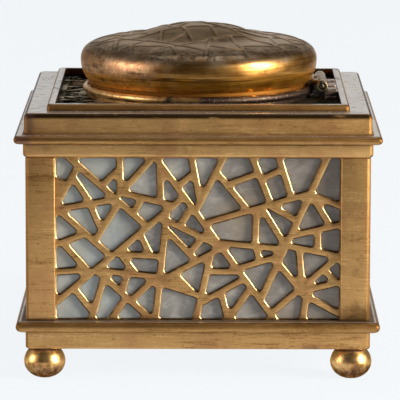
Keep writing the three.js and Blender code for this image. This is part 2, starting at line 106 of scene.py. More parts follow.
# Collar: skirt, foot, bead, seat and neck. Cup: its flange rests on the ledge inside the neck.
SKIRT_BORE = 24.9
SKIRT_REACH = 29.6
SKIRT_BOTTOM = 69.5
COLLAR_FOOT = 32.2
COLLAR_BEAD_REACH = 32.25
COLLAR_BEAD_HEIGHT = 76.45
COLLAR_BEAD_RADIUS = 1.15
SEAT_REACH = 31.7
SEAT_HEIGHT = 76.8
NECK_REACH = 30.1
NECK_BORE = 26.9
NECK_TOP = 79.3
NECK_EASE = 0.2
CUP_LEDGE = 73.9
CUP_FLANGE = 74.1
CUP_FLANGE_REACH = 26.6
CUP_RIM = 75.9
CUP_BOTTOM = 29.9
CUP_FLOOR = 33.9
CUP_FOOT = 20.6
CUP_BORE = 21.4
CUP_WALL = 3.2
CUP_ROUND = 4.5
CUP_LIP = 0.7

# Hinge and lid.
HINGE_REACH = 35.3
HINGE_HEIGHT = 78.1
KNUCKLE_RADIUS = 1.6
KNUCKLE_BORE = 1.05
KNUCKLE_PITCH = 4.8
KNUCKLE_GAP = 0.3
KNUCKLE_ROUND = 0.22
KNUCKLE_INSET = 0.05
BARREL_HALF = 12.0
PIN_HALF = 11.65
PIN_RADIUS = 0.75
LEAF_REACH = 39.6
LEAF_THICKNESS = 0.9
LEAF_BLOCK_RISE = 3.0
BLOCK_INSET = 0.1
LID_RADIUS = 34.0
LID_MOUTH = 78.6
LID_RISE = 16.6
LID_WALL = 1.1
LIP_REACH = 31.4
LIP_BORE = 30.5
LIP_BOTTOM = 77.1
LIP_EASE = 0.15

# Cracked-ice lattices: bar width, cell area, half-width and levels of the pierced region, how round a hole's
# corners are, how far to the right an edge faces to take the painted highlight, how far the splitting lines
# are turned and shifted, the shortest side of a hole, and how near two points are to count as one.
BAR_WIDTH = 2.1
CELL_AREA = 54.0
BAR_REACH = 40.4
BAR_BOTTOM = 1.3
BAR_TOP = 48.6
HOLE_ROUND = 0.7
BRIGHT_LEAST = 0.22
SPLIT_TURN = 0.85
SPLIT_SHIFT = 0.16
TURN_STRIDE = 0.618
SHIFT_STRIDE = 0.755
LEAST_SIDE = 0.2
SAME_PLACE = 1e-4

# Distances, in metres, within which corners of a mesh are joined, and the lid's smoothing angle.
SHEET_WELD = 2e-7
DECK_WELD = 2e-6
LID_SMOOTH = 40.0


# Node trees

class Value:
    """A number that runs through a node tree. Sums on it add Math nodes."""

    def __init__(self, tree, socket):
        self.tree = tree
        self.socket = socket

    def maths(self, operation, first, second):
        return self.tree.node("ShaderNodeMath", {"operation": operation}, {0: first, 1: second})

    def __add__(self, other):
        return self.maths("ADD", self, other)

    def __radd__(self, other):
        return self.maths("ADD", other, self)

    def __sub__(self, other):
        return self.maths("SUBTRACT", self, other)

    def __rsub__(self, other):
        return self.maths("SUBTRACT", other, self)

    def __mul__(self, other):
        return self.maths("MULTIPLY", self, other)

    def highest(self, other):
        return self.maths("MAXIMUM", self, other)

    def size(self):
        return self.maths("ABSOLUTE", self, 0.0)


class Tree:
    """Adds nodes to a node tree: a type, its settings, and the values or links of its sockets."""

    def __init__(self, nodes):
        self.nodes = nodes

    def node(self, kind, settings=None, values=None, out=0):
        added = self.nodes.nodes.new(kind)
        for name, value in (settings or {}).items():
            if name == "stops":
                self.set_stops(added.color_ramp, value)
            else:
                setattr(added, name, value)
        for name, value in (values or {}).items():
            if isinstance(value, Value):
                self.nodes.links.new(value.socket, added.inputs[name])
            else:
                added.inputs[name].default_value = value
        if out is None:
            return added
        return Value(self, added.outputs[out])

    @staticmethod
    def set_stops(ramp, stops):
        while len(ramp.elements) < len(stops):
            ramp.elements.new(0.5)
        for element, (place, colour) in zip(ramp.elements, stops):
            element.position = place
            element.color = (*colour, 1.0)

    def part(self, vector, name):
        """One part of a vector: X, Y or Z."""
        return self.node("ShaderNodeSeparateXYZ", None, {"Vector": vector}, out=name)


class Finish(Tree):
    """A material, with the patterns that its surface is made of. Lengths are in millimetres."""

    def __init__(self, name):
        self.material = bpy.data.materials.new(name)
        self.material.use_nodes = True
        self.material.node_tree.nodes.clear()
        super().__init__(self.material.node_tree)
        self.place = self.node("ShaderNodeTexCoord", out="Object")

    def along(self, name):
        """The place along an axis, in millimetres."""
        return self.part(self.place, name) * (1 / MM)

    def facing(self):
        """One on a face that looks up, and minus one on a face that looks down."""
        return self.part(self.node("ShaderNodeTexCoord", out="Normal"), "Z")

    def grain(self, length, detail=3.0, rough=0.6, shift=0.0, stretch=(1, 1, 1), twist=0.0):
        """A noise near a half all over. Its marks are about as long as given, or stretched along an axis."""
        scale = tuple(1 / (length * MM * s) for s in stretch)
        placed = self.node("ShaderNodeMapping", {"vector_type": "POINT"}, {
            "Vector": self.place, "Location": (shift, shift, shift), "Scale": scale})
        return self.node("ShaderNodeTexNoise", {"noise_dimensions": "3D"}, {
            "Vector": placed, "Scale": 1.0, "Detail": detail, "Roughness": rough, "Distortion": twist})

    def rise(self, value, low, high):
        """Nought below the low value and one above the high value, with a smooth step between."""
        return self.node("ShaderNodeMapRange", {"interpolation_type": "SMOOTHSTEP", "clamp": True}, {
            "Value": value, "From Min": low, "From Max": high, "To Min": 0.0, "To Max": 1.0})

    def spots(self, low, high, *pattern):
        """Spots where a grain passes a value."""
        return self.rise(self.grain(*pattern), low, high)

    def band(self, value, centre, half):
        """One at a place along an axis, and none past half a width from it."""
        return 1 - self.rise((value - centre).size(), half * 0.3, half)

    def mixed(self, factor, first, second):
        return self.node("ShaderNodeMix", {"data_type": "RGBA", "blend_type": "MIX"}, {
            0: factor, 6: self.colour(first), 7: self.colour(second)}, out=2)

    @staticmethod
    def colour(value):
        return value if isinstance(value, Value) else (*value, 1.0)

    def ramp(self, value, stops):
        return self.node("ShaderNodeValToRGB", {"stops": stops}, {"Fac": value})

    def bump(self, height, depth=0.05, strength=0.6):
        return self.node("ShaderNodeBump", None, {
            "Height": height, "Distance": depth * MM, "Strength": strength})

    def shaded(self, colour, roughness, metallic=1.0, normal=None, more=None):
        values = {"Base Color": self.colour(colour), "Roughness": roughness, "Metallic": metallic}
        if normal is not None:
            values["Normal"] = normal
        values.update(more or {})
        surface = self.node("ShaderNodeBsdfPrincipled", None, values, out="BSDF")
        self.node("ShaderNodeOutputMaterial", None, {"Surface": surface}, out=None)
        return self.material


# Finishes

GOLD_PALE = (0.72, 0.45, 0.19)
GOLD = (0.525, 0.303, 0.114)
GOLD_DEEP = (0.30, 0.15, 0.045)
GOLD_BROWN = (0.15, 0.066, 0.012)
GOLD_RUBBED = (0.72, 0.46, 0.22)
GOLD_SHADED = (0.36, 0.24, 0.13)
GOLD_STAINED = (0.66, 0.44, 0.22)
COPPER = (0.40, 0.185, 0.085)
COPPER_PALE = (0.38, 0.21, 0.12)
COPPER_RED = (0.42, 0.18, 0.10)
# Tops: a pale painted reflection, a browner one for the rim, and real smudges.
TOP_SHEEN_PALE = (0.42, 0.352, 0.285)
TOP_SHEEN_BROWN = (0.32, 0.245, 0.18)
TOP_SMUDGE = (0.13, 0.11, 0.095)
PATINA = (0.075, 0.036, 0.014)
PLUM_PATINA = (0.12, 0.055, 0.05)
# A dark brown for painted shade.
PAINTED_SHADE = (0.03, 0.014, 0.005)
LID_GRIME = (0.035, 0.018, 0.009)
LID_SHADOW = (0.035, 0.02, 0.013)
LID_SCORCH = (0.11, 0.045, 0.010)
LID_CROWN = (0.15, 0.08, 0.03)
LIP_BROWN = (0.15, 0.055, 0.010)
COLLAR_STAIN = (0.038, 0.025, 0.024)
COLLAR_GLINT = (0.52, 0.43, 0.38)
PIT_BROWN = (0.05, 0.035, 0.025)
GLASS_MILK = (0.42, 0.41, 0.39)
GLASS_AMBER = (0.27, 0.215, 0.145)
GLASS_BLUE = (0.27, 0.31, 0.315)
GLASS_UMBER = (0.135, 0.105, 0.082)

# Stretches of a grain into lines that run level round the walls or the lid, and where a corner post begins.
LEVEL = (14.0, 14.0, 1.0)
TURNED = (22.0, 22.0, 1.0)
POST_EDGE = (38.0, 41.0)

# Painted shade at the joins, a painted dark reflection at the cornice top: the height, half width and
# strength of each.
SHADE_BANDS = (
    (CORNICE_TOP - 0.55, 1.25, 1.0), (CORNICE_BEAD_TOP + 0.3, 0.6, 0.35), (BASE_TOP + 0.2, 0.6, 0.6),
    (BASE_BEAD_BOTTOM - 0.1, 0.3, 0.7), (CORNICE_BEAD_BOTTOM - 0.15, 0.35, 0.8))


def brushed(f):
    """Fine lines, broken and a little wavy, that run level round the walls."""
    fine = f.grain(0.42, 3.0, 0.6, 0.0, LEVEL, 0.25)
    coarse = f.grain(1.68, 3.0, 0.55, 3.0, (21.0, 21.0, 1.0))
    satin = f.grain(0.588, 2.0, 0.6, 9.0, (1.6, 1.6, 1.0))
    return fine * 0.45 + coarse * 0.3 + satin * 0.25


def worn_walls(f, tone):
    """Patina on the walls: streaks, blotches, specks, the right posts' feet and the left posts' heads."""
    across, level = f.along("X"), f.along("Z")
    foot = (1 - f.rise(level + tone * 20.0, 27.0, 33.0)) * f.rise(across, *POST_EDGE)
    foot = foot * f.rise(level, BASE_TOP - 0.35, BASE_TOP + 0.65)
    head = f.rise(level + tone * 26.0, 34.0, 84.0) * f.rise(across * -1.0, *POST_EDGE)
    head = head * (1 - f.rise(level, CORNICE_BOTTOM - 1.65, CORNICE_BOTTOM - 0.15))
    worn = (f.spots(0.58, 0.72, 1.1, 4.0, 0.6, 7.0, LEVEL) * 0.32).highest(foot * 0.8).highest(head * 0.24)
    worn = worn.highest(f.spots(0.58, 0.74, 7.0, 6.0, 0.62, 11.0) * 0.42)
    return worn.highest(f.spots(0.70, 0.76, 0.9, 2.0, 0.5, 5.0, (1.8, 1.8, 1.0)) * 0.55)


def gilt_finish(name, shade_browning):
    """Brushed gilding on brass, with brown patina on the walls and mouldings, tops painted pale as a
    reflection, painted shade at joins, beads, corners and ledge, and painted light on the fascias.
    """
    f = Finish(name)
    across, level = f.along("X"), f.along("Z")
    reach = across.size().highest(f.along("Y").size())
    upward = f.rise(f.facing(), 0.90, 0.99)
    lines = brushed(f)
    tone = f.grain(9.0, 4.0)
    cloud = f.grain(26.0, 3.0, 0.55, 31.0)
    colour = f.ramp(lines * 1.15 + tone * 0.25 + cloud * 0.20 - 0.30, [
        (0.34, GOLD_DEEP), (0.46, GOLD), (0.54, GOLD), (0.66, GOLD_PALE)])
    # Painted light: a pale band on the lower fascia, which lies in the bead's shadow, and on the upper
    # fascia's left.
    upper_left_light = f.band(level, 72.0, 2.8) * (1 - f.rise(across, -8.0, 20.0))
    colour = f.mixed(f.band(level, 64.6, 2.6).highest(upper_left_light) * 0.35, colour, GOLD_PALE)
    colour = f.mixed(f.spots(0.50, 0.66, 13.0, 5.0, 0.62, 41.0) * 0.4, colour, COPPER)
    worn = worn_walls(f, tone)
    colour = f.mixed(worn, colour, PATINA)

    # Painted shade: the beads browned, more on their upper halves; the browning argument browns a whole copy
    # the same way.
    lit = 0.22 + f.rise(f.facing(), -0.6, 0.1) * 0.38
    bead_shade = f.rise(reach, FASCIA_REACH + 0.1, FASCIA_REACH + 0.7) * lit
    colour = f.mixed(bead_shade.highest(shade_browning), colour, GOLD_BROWN)
    # Painted shade: dark bands at the joins of the mouldings, and a painted dark reflection at the cornice's
    # top edge.
    shade_bands = 0.0
    for height, half, strength in SHADE_BANDS:
        shade_bands = (f.band(level, height, half) * strength).highest(shade_bands)
    ragged = f.spots(0.24, 0.46, 1.6, 3.0, 0.6, 2.0, (5.0, 5.0, 1.0))
    # Painted shade: the rim's inner faces, set back out of the light, painted dark.
    rim_inner_shade = (1 - f.rise(reach, RIM_INNER + 0.5, RIM_INNER + 0.7)) * 0.95
    colour = f.mixed((shade_bands * ragged).highest(rim_inner_shade) * (1 - upward) * 0.97, colour, PAINTED_SHADE)
    plum = f.rise(tone * 11.0 - across, 50.0, 53.0) * f.rise(level, 65.5, 67.0)
    colour = f.mixed(plum * (1 - upward) * 0.65, colour, PLUM_PATINA)
    # Painted shade on the eased corners, where a bright highlight would fall.
    span = across.size() + f.along("Y").size()
    arris_shade = f.rise(span - reach * 2.0, -1.0, -0.45)
    colour = f.mixed(arris_shade * 0.75, colour, GOLD_BROWN)

    # Painted shadow: the base ledge at the foot of the walls painted dark and dull.
    ledge_shadow = (1 - f.rise(reach, FASCIA_REACH + 0.4, FASCIA_REACH + 1.1)) * (1 - f.rise(level, 17.0, 18.0))
    smudge = f.spots(0.55, 0.68, 3.0, 5.0, 0.66, 17.0)
    # Painted reflection: tops painted pale, as the bright sky shows in them, browner on the rim, with real
    # dark smudges.
    top_sheen = f.mixed(smudge * 0.8, f.mixed(shade_browning * 0.5, TOP_SHEEN_PALE, TOP_SHEEN_BROWN), TOP_SMUDGE)
    colour = f.mixed(upward * 0.9, colour, f.mixed(ledge_shadow * 0.92, top_sheen, PAINTED_SHADE))
    dull = ledge_shadow.highest(smudge * 0.8)
    roughness = 0.40 + tone * 0.14 + worn * 0.15 + arris_shade * 0.1 - upward * (0.24 - dull * 0.4)
    return f.shaded(colour, roughness, 1 - upward * (0.3 + dull * 0.65), f.bump(lines, 0.045, 0.9), {
        "Specular IOR Level": 0.3})


def toned_finish(name, stops, length, detail=3.0, gloss=0.34, spread=0.12, metallic=1.0, depth=0.05,
                 strength=0.6):
    """A metal whose colour and gloss drift together."""
    f = Finish(name)
    tone = f.grain(length, detail)
    return f.shaded(f.ramp(tone, stops), gloss + tone * spread, metallic, f.bump(tone, depth, strength))


def edge_finish():
    """Gilding painted bright along the edges that face the light: a painted highlight, with spots of dark
    patina.
    """
    f = Finish("gilt_edges")
    tone = f.grain(2.2)
    colour = f.ramp(tone, [(0.30, (0.42, 0.25, 0.09)), (0.45, (0.68, 0.44, 0.19)), (0.7, (0.84, 0.61, 0.32))])
    dark = f.spots(0.62, 0.72, 1.4, 3.0, 0.6, 9.0)
    return f.shaded(f.mixed(dark * 0.7, colour, PATINA), 0.25 + tone * 0.12, 1.0, f.bump(tone))


def foot_finish():
    """Polished gilding, ruddy in places, pitted, with mottled patina and a painted dark reflection low on the
    ball, and painted shade at its neck.
    """
    f = Finish("gilt_polished")
    tone = f.grain(2.6, 4.0)
    level = f.along("Z")
    colour = f.ramp(tone, [(0.3, (0.38, 0.19, 0.055)), (0.5, (0.68, 0.41, 0.14)), (0.72, (0.84, 0.56, 0.24))])
    ruddy = f.rise(f.grain(3.4, 5.0, 0.62, 19.0) - level * 0.03, 0.28, 0.40)
    colour = f.mixed(ruddy * 0.35, colour, COPPER_RED)
    mottle = f.ramp(f.grain(1.3, 5.0, 0.66, 12.0), [
        (0.38, (0.05, 0.02, 0.010)), (0.52, (0.12, 0.052, 0.026)), (0.68, (0.36, 0.20, 0.115))])
    # Low on the ball: mottled copper patina, made dark as a painted reflection of a dark surface below.
    under = 1 - f.rise(level + tone * 5.0, 4.4, 7.0)
    colour = f.mixed(under * 0.92, colour, mottle)
    # The neck painted dark and rough: painted shade where the ball meets the band, with real pits.
    neck = f.band(level, 8.5, 1.0)
    pits = f.spots(0.62, 0.72, 0.8, 3.0, 0.6, 4.0)
    colour = f.mixed((pits * 0.45).highest(neck * 0.85), colour, PLUM_PATINA)
    roughness = 0.24 + tone * 0.14 + pits * 0.15 + neck * 0.25
    return f.shaded(colour, roughness, 1.0, f.bump(tone + pits * 0.3, 0.06, 0.7), {
        "Specular Tint": (0.55, 0.44, 0.36, 1.0)})


def lid_side(f, tone, rings, coppery, low_side):
    """The lid's bulge, coppery to the left, and the warmer strip below it, a painted warm reflection, with
    its scorched streaks.
    """
    drift = rings * 0.6 + tone * 0.4
    # The lower strip's colours are a painted warm reflection of the gilding below.
    lower = f.ramp(drift, [
        (0.32, (0.32, 0.11, 0.010)), (0.46, (0.62, 0.26, 0.030)), (0.58, (0.78, 0.38, 0.06)),
        (0.72, (0.88, 0.50, 0.13))])
    bulge = f.ramp(drift, [
        (0.32, (0.15, 0.06, 0.014)), (0.46, (0.34, 0.16, 0.038)), (0.58, (0.48, 0.26, 0.075)),
        (0.72, (0.62, 0.39, 0.15))])
    side = f.mixed(low_side, f.mixed(coppery * 0.75, bulge, COPPER_PALE), lower)
    scorched = f.spots(0.52, 0.64, 1.2, 4.0, 0.6, 33.0, TURNED) * f.band(f.along("Z"), 82.4, 2.6)
    return f.mixed(scorched * 0.8, side, LID_SCORCH)


def lid_finish():
    """Gilt bronze: brown and worn on top, speckled at the shoulder, warm lower on the side as a painted
    reflection, and scratched; its lip painted dark as shade.
    """
    f = Finish("lid_bronze")
    level = f.along("Z")
    tone = f.grain(6.0, 5.0, 0.62)
    rings = f.grain(0.8, 3.0, 0.55, 6.0, TURNED)
    coppery = f.rise(tone * 30.0 - f.along("X"), 18.0, 32.0)
    low_side = 1 - f.rise(level + (tone - 0.5) * 4.0, 81.4, 83.6)
    upper = f.rise(level + (tone - 0.5) * 6.0, 85.6, 89.4)
    top = f.ramp(tone, [
        (0.32, (0.25, 0.165, 0.105)), (0.52, (0.42, 0.30, 0.195)), (0.72, (0.58, 0.44, 0.30))])
    top = f.mixed(f.rise(level + (tone - 0.5) * 3.0, 90.8, 92.6) * 0.6, top, LID_CROWN)
    colour = f.mixed(upper, lid_side(f, tone, rings, coppery, low_side), top)

    relief = f.node("ShaderNodeAttribute", {"attribute_name": "relief"}, out="Fac")
    field = f.node("ShaderNodeAttribute", {"attribute_name": "field"}, out="Fac")
    colour = f.mixed(relief * 0.2, colour, GOLD_SHADED)
    slopes = relief * (1 - relief) * 4.0
    colour = f.mixed(field * slopes * 0.45, colour, LID_SHADOW)
    patches = f.spots(0.46, 0.62, 1.7, 5.0, 0.7, 37.0) * coppery * (1 - upper)
    colour = f.mixed(patches * 0.4, colour, GOLD_STAINED)
    speckle = f.spots(0.46, 0.62, 1.3, 5.0, 0.68, 25.0, (1.6, 1.6, 1.0))
    shoulder = f.band(level, 88.9, 2.0) * (0.45 + speckle * 0.55)
    stains = f.rise(f.grain(3.2, 5.0, 0.65, 15.0, (2.2, 2.2, 1.0)) + coppery * 0.05, 0.56, 0.70)
    flecks = f.spots(0.60, 0.67, 0.9, 3.0, 0.6, 43.0) * coppery
    grime = (stains * 0.6).highest(shoulder * 0.85).highest(flecks * 0.6)
    colour = f.mixed(grime, colour, LID_GRIME)
    colour = f.mixed(relief * f.spots(0.56, 0.64, 4.5, 4.0, 0.65, 51.0) * 0.6, colour, GOLD_RUBBED)
    # The lip painted dark: painted shade in the gap over the collar.
    lip = 1 - f.rise(level, LID_MOUTH - 0.1, LID_MOUTH + 0.1)
    colour = f.mixed(lip * 0.9, colour, LIP_BROWN)
    wear = grime.highest(coppery * 0.6)
    roughness = 0.25 - upper * 0.02 + low_side * 0.10 + tone * 0.12 + wear * 0.14 + lip * 0.2
    return f.shaded(colour, roughness, 1.0, f.bump(rings * 0.7 + tone, 0.045, 0.7), {
        "Specular Tint": (0.8, 0.7, 0.6, 1.0)})


def collar_finish():
    """Gilding with dark stains, most at the right and below the seat, and glints in them."""
    f = Finish("collar_gilt")
    tone = f.grain(5.0, 5.0, 0.62)
    colour = f.ramp(tone, [(0.3, (0.32, 0.16, 0.06)), (0.48, (0.68, 0.40, 0.15)), (0.66, (0.84, 0.56, 0.25))])
    outer = 1 - f.rise(f.along("Z"), 77.2, 77.8)
    stains = f.rise(f.grain(7.0, 5.0, 0.62, 21.0) + f.along("X") * outer * 0.011, 0.46, 0.60)
    specks = f.spots(0.60, 0.70, 0.9, 2.0, 0.5, 8.0)
    colour = f.mixed((stains * 0.95).highest(specks * 0.6), colour, COLLAR_STAIN)
    glints = f.spots(0.60, 0.66, 0.6, 3.0, 0.6, 28.0) * stains
    colour = f.mixed(glints * 0.5, colour, COLLAR_GLINT)
    return f.shaded(colour, 0.40 + stains * 0.12, 1.0, f.bump(tone + specks * 0.4))


def aged_finish():
    """Dull, pitted brass of the hinge and the hidden fittings."""
    f = Finish("aged_brass")
    tone = f.grain(1.6, 4.0)
    colour = f.ramp(tone, [(0.3, (0.10, 0.07, 0.04)), (0.5, (0.30, 0.22, 0.12)), (0.7, (0.52, 0.41, 0.25))])
    pits = f.spots(0.6, 0.7, 0.5, 3.0, 0.6, 3.0)
    colour = f.mixed(pits * 0.5, colour, PIT_BROWN)
    return f.shaded(colour, 0.3 + tone * 0.2, 1.0, f.bump(tone + pits * 0.5, 0.05, 0.8))


def deck_finish():
    """Bars of the deck: dark, with painted glints, pale flats away from the hinge, and darker and duller
    beside it.
    """
    f = Finish("deck_bars")
    across = f.along("X")
    # Tone falls to the right, so the pale painted glints gather on the flats to the left.
    tone = f.grain(4.0, 4.0) - f.rise(across, -26.0, 12.0) * 0.16
    colour = f.ramp(tone, [
        (0.38, (0.02, 0.017, 0.011)), (0.48, (0.06, 0.05, 0.032)), (0.56, (0.80, 0.72, 0.58))])
    # Darker, duller and less metallic towards the hinge.
    hinge_side_dark = f.rise(across, 24.0, 31.0)
    return f.shaded(colour, 0.34 + tone * 0.15 + hinge_side_dark * 0.5, 1 - hinge_side_dark, f.bump(tone), {
        "Specular IOR Level": 0.15, "Specular Tint": (0.30, 0.27, 0.21, 1.0)})


def marbled_finish():
    """Opalescent glass: grey, with drifting milky streaks, bluer to the left and browner to the right, and a
    faint painted glow.
    """
    f = Finish("marbled_glass")
    across = f.along("X")
    drift = f.grain(16.0, 4.0, 0.55, 3.0, (1.0, 1.0, 1.7), 0.9)
    colour = f.ramp(drift, [
        (0.30, (0.095, 0.088, 0.082)), (0.45, (0.15, 0.142, 0.132)), (0.58, (0.21, 0.20, 0.186)),
        (0.72, (0.32, 0.31, 0.29))])
    wisps = f.spots(0.46, 0.72, 5.0, 5.0, 0.6, 7.0, (1.0, 1.0, 0.5), 1.2)
    colour = f.mixed(wisps * 0.35, colour, GLASS_MILK)
    tints = f.grain(22.0, 2.0, 0.5, 13.0)
    colour = f.mixed(f.rise(tints, 0.52, 0.66) * 0.5, colour, GLASS_AMBER)
    colour = f.mixed(f.rise(tints * 60.0 - across, 36.0, 60.0) * 0.55, colour, GLASS_BLUE)
    colour = f.mixed(f.rise(tints * 60.0 + across, 24.0, 62.0) * 0.5, colour, GLASS_UMBER)
    # The emission is a painted glow: the glass gives off a little of its own colour.
    return f.shaded(colour, 0.2, 0.0, f.bump(drift, 0.25, 0.4), {
        "Subsurface Weight": 0.7, "Subsurface Radius": (1.0, 1.0, 1.0), "Subsurface Scale": 2.5 * MM,
        "Emission Color": colour, "Emission Strength": 0.12})


def clear_finish():
    """Clear glass with a green cast."""
    f = Finish("clear_glass")
    tone = f.grain(8.0, 3.0, 0.5)
    colour = f.ramp(tone, [(0.3, (0.60, 0.74, 0.70)), (0.7, (0.76, 0.86, 0.83))])
    return f.shaded(colour, 0.05 + tone * 0.05, 0.0, f.bump(tone, 0.1, 0.3), {"Alpha": 0.35, "IOR": 1.5})


GILT = gilt_finish("gilt_brushed", 0.0)
# The rim's copy, browned all over: painted shade, standing for the dark reflection on its front.
RIM_SHADED_GILT = gilt_finish("gilt_browned", 0.6)
HIGHLIGHT_EDGE = edge_finish()
# A dark copy of the gilding, painted shade, for the wall edges that face away from the light.
SHADED_EDGE = toned_finish("gilt_shaded_edges", [
    (0.32, (0.05, 0.028, 0.014)), (0.52, (0.11, 0.062, 0.026)), (0.7, (0.24, 0.15, 0.065))], 2.2)
POLISHED = foot_finish()
LID = lid_finish()
COLLAR = collar_finish()
AGED = aged_finish()
LEAF = toned_finish("rubbed_leaf", [
    (0.34, (0.10, 0.065, 0.05)), (0.5, (0.36, 0.27, 0.22)), (0.68, (0.62, 0.52, 0.45))],
    1.4, 4.0, 0.36, 0.2, strength=0.8)
DARK = toned_finish("dark_brass", [
    (0.3, (0.006, 0.006, 0.006)), (0.55, (0.016, 0.015, 0.014)), (0.75, (0.05, 0.045, 0.035))],
    3.0, 4.0, 0.55, 0.2, metallic=0.6)
DECK = deck_finish()
STEEL = toned_finish("oiled_steel", [
    (0.3, (0.06, 0.054, 0.034)), (0.5, (0.16, 0.145, 0.10)), (0.7, (0.34, 0.31, 0.24))],
    0.8, 3.0, 0.40, 0.15, depth=0.04)
MARBLED = marbled_finish()
CLEAR = clear_finish()


# Solids

def corner(solid, x, y, z):
    return solid.verts.new((x * MM, y * MM, z * MM))


def face(solid, corners, slot=0):
    """A face from corners, leaving out repeats."""
    kept = [c for i, c in enumerate(corners) if c is not corners[i - 1]]
    if len(kept) > 2:
        made = solid.faces.new(kept)
        made.material_index = slot


def strips(solid, loops, closed):
    """Faces between loops of corners, also from the last to the first if closed. One corner is a pole."""
    steps = max(len(loop) for loop in loops)
    pairs = list(zip(loops, loops[1:]))
    if closed:
        pairs.append((loops[-1], loops[0]))
    for low, high in pairs:
        for k in range(steps):
            n = (k + 1) % steps
            face(solid, [low[k % len(low)], low[n % len(low)], high[n % len(high)], high[k % len(high)]])


def turned(solid, outline, steps):
    """An outline of (reach, height) pairs, spun round the vertical axis."""
    loops = []
    for reach, height in outline:
        count = steps if reach > 0 else 1
        turns = [2 * math.pi * k / steps for k in range(count)]
        loops.append([corner(solid, reach * math.cos(a), reach * math.sin(a), height) for a in turns])
    strips(solid, loops, outline[0][0] > 0)


def mitred(solid, outline, bore, steps=4):
    """An outline of (reach, height) pairs, taken round a square whose corners are eased outside its bore."""
    loops = []
    for reach, height in outline:
        loop = []
        ease = CORNER_EASE if reach > bore else BORE_EASE
        for q in range(4):
            for s in range(steps + 1):
                angle = QUARTER * s / steps
                x = reach - ease + ease * math.cos(angle)
                y = reach - ease + ease * math.sin(angle)
                turn = q * QUARTER
                loop.append(corner(solid, x * math.cos(turn) - y * math.sin(turn),
                                   x * math.sin(turn) + y * math.cos(turn), height))
        loops.append(loop)
    strips(solid, loops, True)


def arc(reach, height, radius, start, end, steps=8):
    """Points of an arc, between two angles in degrees."""
    turns = [math.radians(start + (end - start) * i / steps) for i in range(steps + 1)]
    return [(reach + radius * math.cos(a), height + radius * math.sin(a)) for a in turns]


def smooth_curve(points, steps):
    """A curve with no kinks through points of an outline."""
    last = len(points) - 1
    curve = []
    for k in range(steps + 1):
        at = k / steps * last
        i = min(int(at), last - 1)
        t = at - i
        p = [points[max(i - 1, 0)], points[i], points[i + 1], points[min(i + 2, last)]]
        curve.append(tuple(
            0.5 * (2 * b + (c - a) * t + (2 * a - 5 * b + 4 * c - d) * t * t
                   + (3 * b - a - 3 * c + d) * t ** 3)
            for a, b, c, d in zip(*p)))
    return curve


def bead(reach, bottom, height):
    """A half round that stands out to a reach."""
    return arc(reach - height / 2, bottom + height / 2, height / 2, -90, 90, 16)


def rectangle(x0, x1, y0, y1):
    return [(x0, y0), (x1, y0), (x1, y1), (x0, y1)]


def prism(solid, plan, bottom, top):
    """A plan of (x, y) pairs, raised between two levels."""
    low, high = ([corner(solid, x, y, level) for x, y in plan] for level in (bottom, top))
    face(solid, low[::-1])
    face(solid, high)
    strips(solid, [low, high], False)


def on_hinge(solid):
    """Lays a solid that was turned upright along the hinge axis."""
    axis = Matrix.Translation((HINGE_REACH * MM, 0, HINGE_HEIGHT * MM))
    solid.transform(axis @ Matrix.Rotation(-QUARTER, 4, "X"))


def finished(name, solid, finishes, smooth=32.0, weld=1e-8):
    """The object of a solid: doubles merged, faces outwards, soft below an angle."""
    bmesh.ops.remove_doubles(solid, verts=solid.verts, dist=weld)
    bmesh.ops.recalc_face_normals(solid, faces=solid.faces)
    mesh = bpy.data.meshes.new(name)
    solid.to_mesh(mesh)
    solid.free()
    for finish in finishes:
        mesh.materials.append(finish)
    soften(mesh, smooth)
    piece = bpy.data.objects.new(name, mesh)
    bpy.context.scene.collection.objects.link(piece)
    return piece


def soften(mesh, angle):
    mesh.polygons.foreach_set("use_smooth", [True] * len(mesh.polygons))
    mesh.set_sharp_from_angle(angle=math.radians(angle))


def eased(piece, width, segments=2, slot=-1, angle=40.0):
    """Rounds the edges of a piece. The new faces may take another finish."""
    tool = piece.modifiers.new("eased_edges", "BEVEL")
    tool.width = width * MM
    tool.segments = segments
    tool.limit_method = "ANGLE"
    tool.angle_limit = math.radians(angle)
    tool.material = slot
    return piece


def sort_edges(mesh):
    """Of a wall's eased edges, those that face its right hand, where the light comes from, take the painted
    highlight, and the others painted shade.
    """
    bright = mesh.materials.find(HIGHLIGHT_EDGE.name)
    dark = len(mesh.materials)
    mesh.materials.append(SHADED_EDGE)
    for flat in mesh.polygons:
        if flat.material_index != bright:
            continue
        x, y = flat.center.x, flat.center.y
        side = (0 if y < 0 else 2) if abs(y) > abs(x) else (1 if x > 0 else 3)
        right_hand = flat.normal.x * math.cos(side * QUARTER) + flat.normal.y * math.sin(side * QUARTER)
        if right_hand < BRIGHT_LEAST:
            flat.material_index = dark


def baked(piece, smooth=32.0):
    """The piece with its modifiers worked into a plain mesh."""
    bpy.context.view_layer.update()
    held = piece.evaluated_get(bpy.context.evaluated_depsgraph_get())
    mesh = bpy.data.meshes.new_from_object(held)
    mesh.name = piece.name
    piece.modifiers.clear()
    piece.data = mesh
    soften(mesh, smooth)
    return piece


def placed(piece, body, slot, *nodes):
    """Puts a finished piece on its body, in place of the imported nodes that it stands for."""
    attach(piece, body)
    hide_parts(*nodes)


# Repeats, by geometry nodes

def new_tree(name, inputs):
    """A geometry tree with a geometry input and output and named inputs, and the values that come in."""
    group = bpy.data.node_groups.new(name, "GeometryNodeTree")
    group.interface.new_socket("Geometry", in_out="OUTPUT", socket_type="NodeSocketGeometry")
    for title, kind in (("Geometry", "Geometry"), *inputs):
        group.interface.new_socket(title, in_out="INPUT", socket_type="NodeSocket" + kind)
    tree = Tree(group)
    start = tree.node("NodeGroupInput", out=None)
    return tree, {title: Value(tree, start.outputs[title]) for title, _ in (("Geometry", ""), *inputs)}


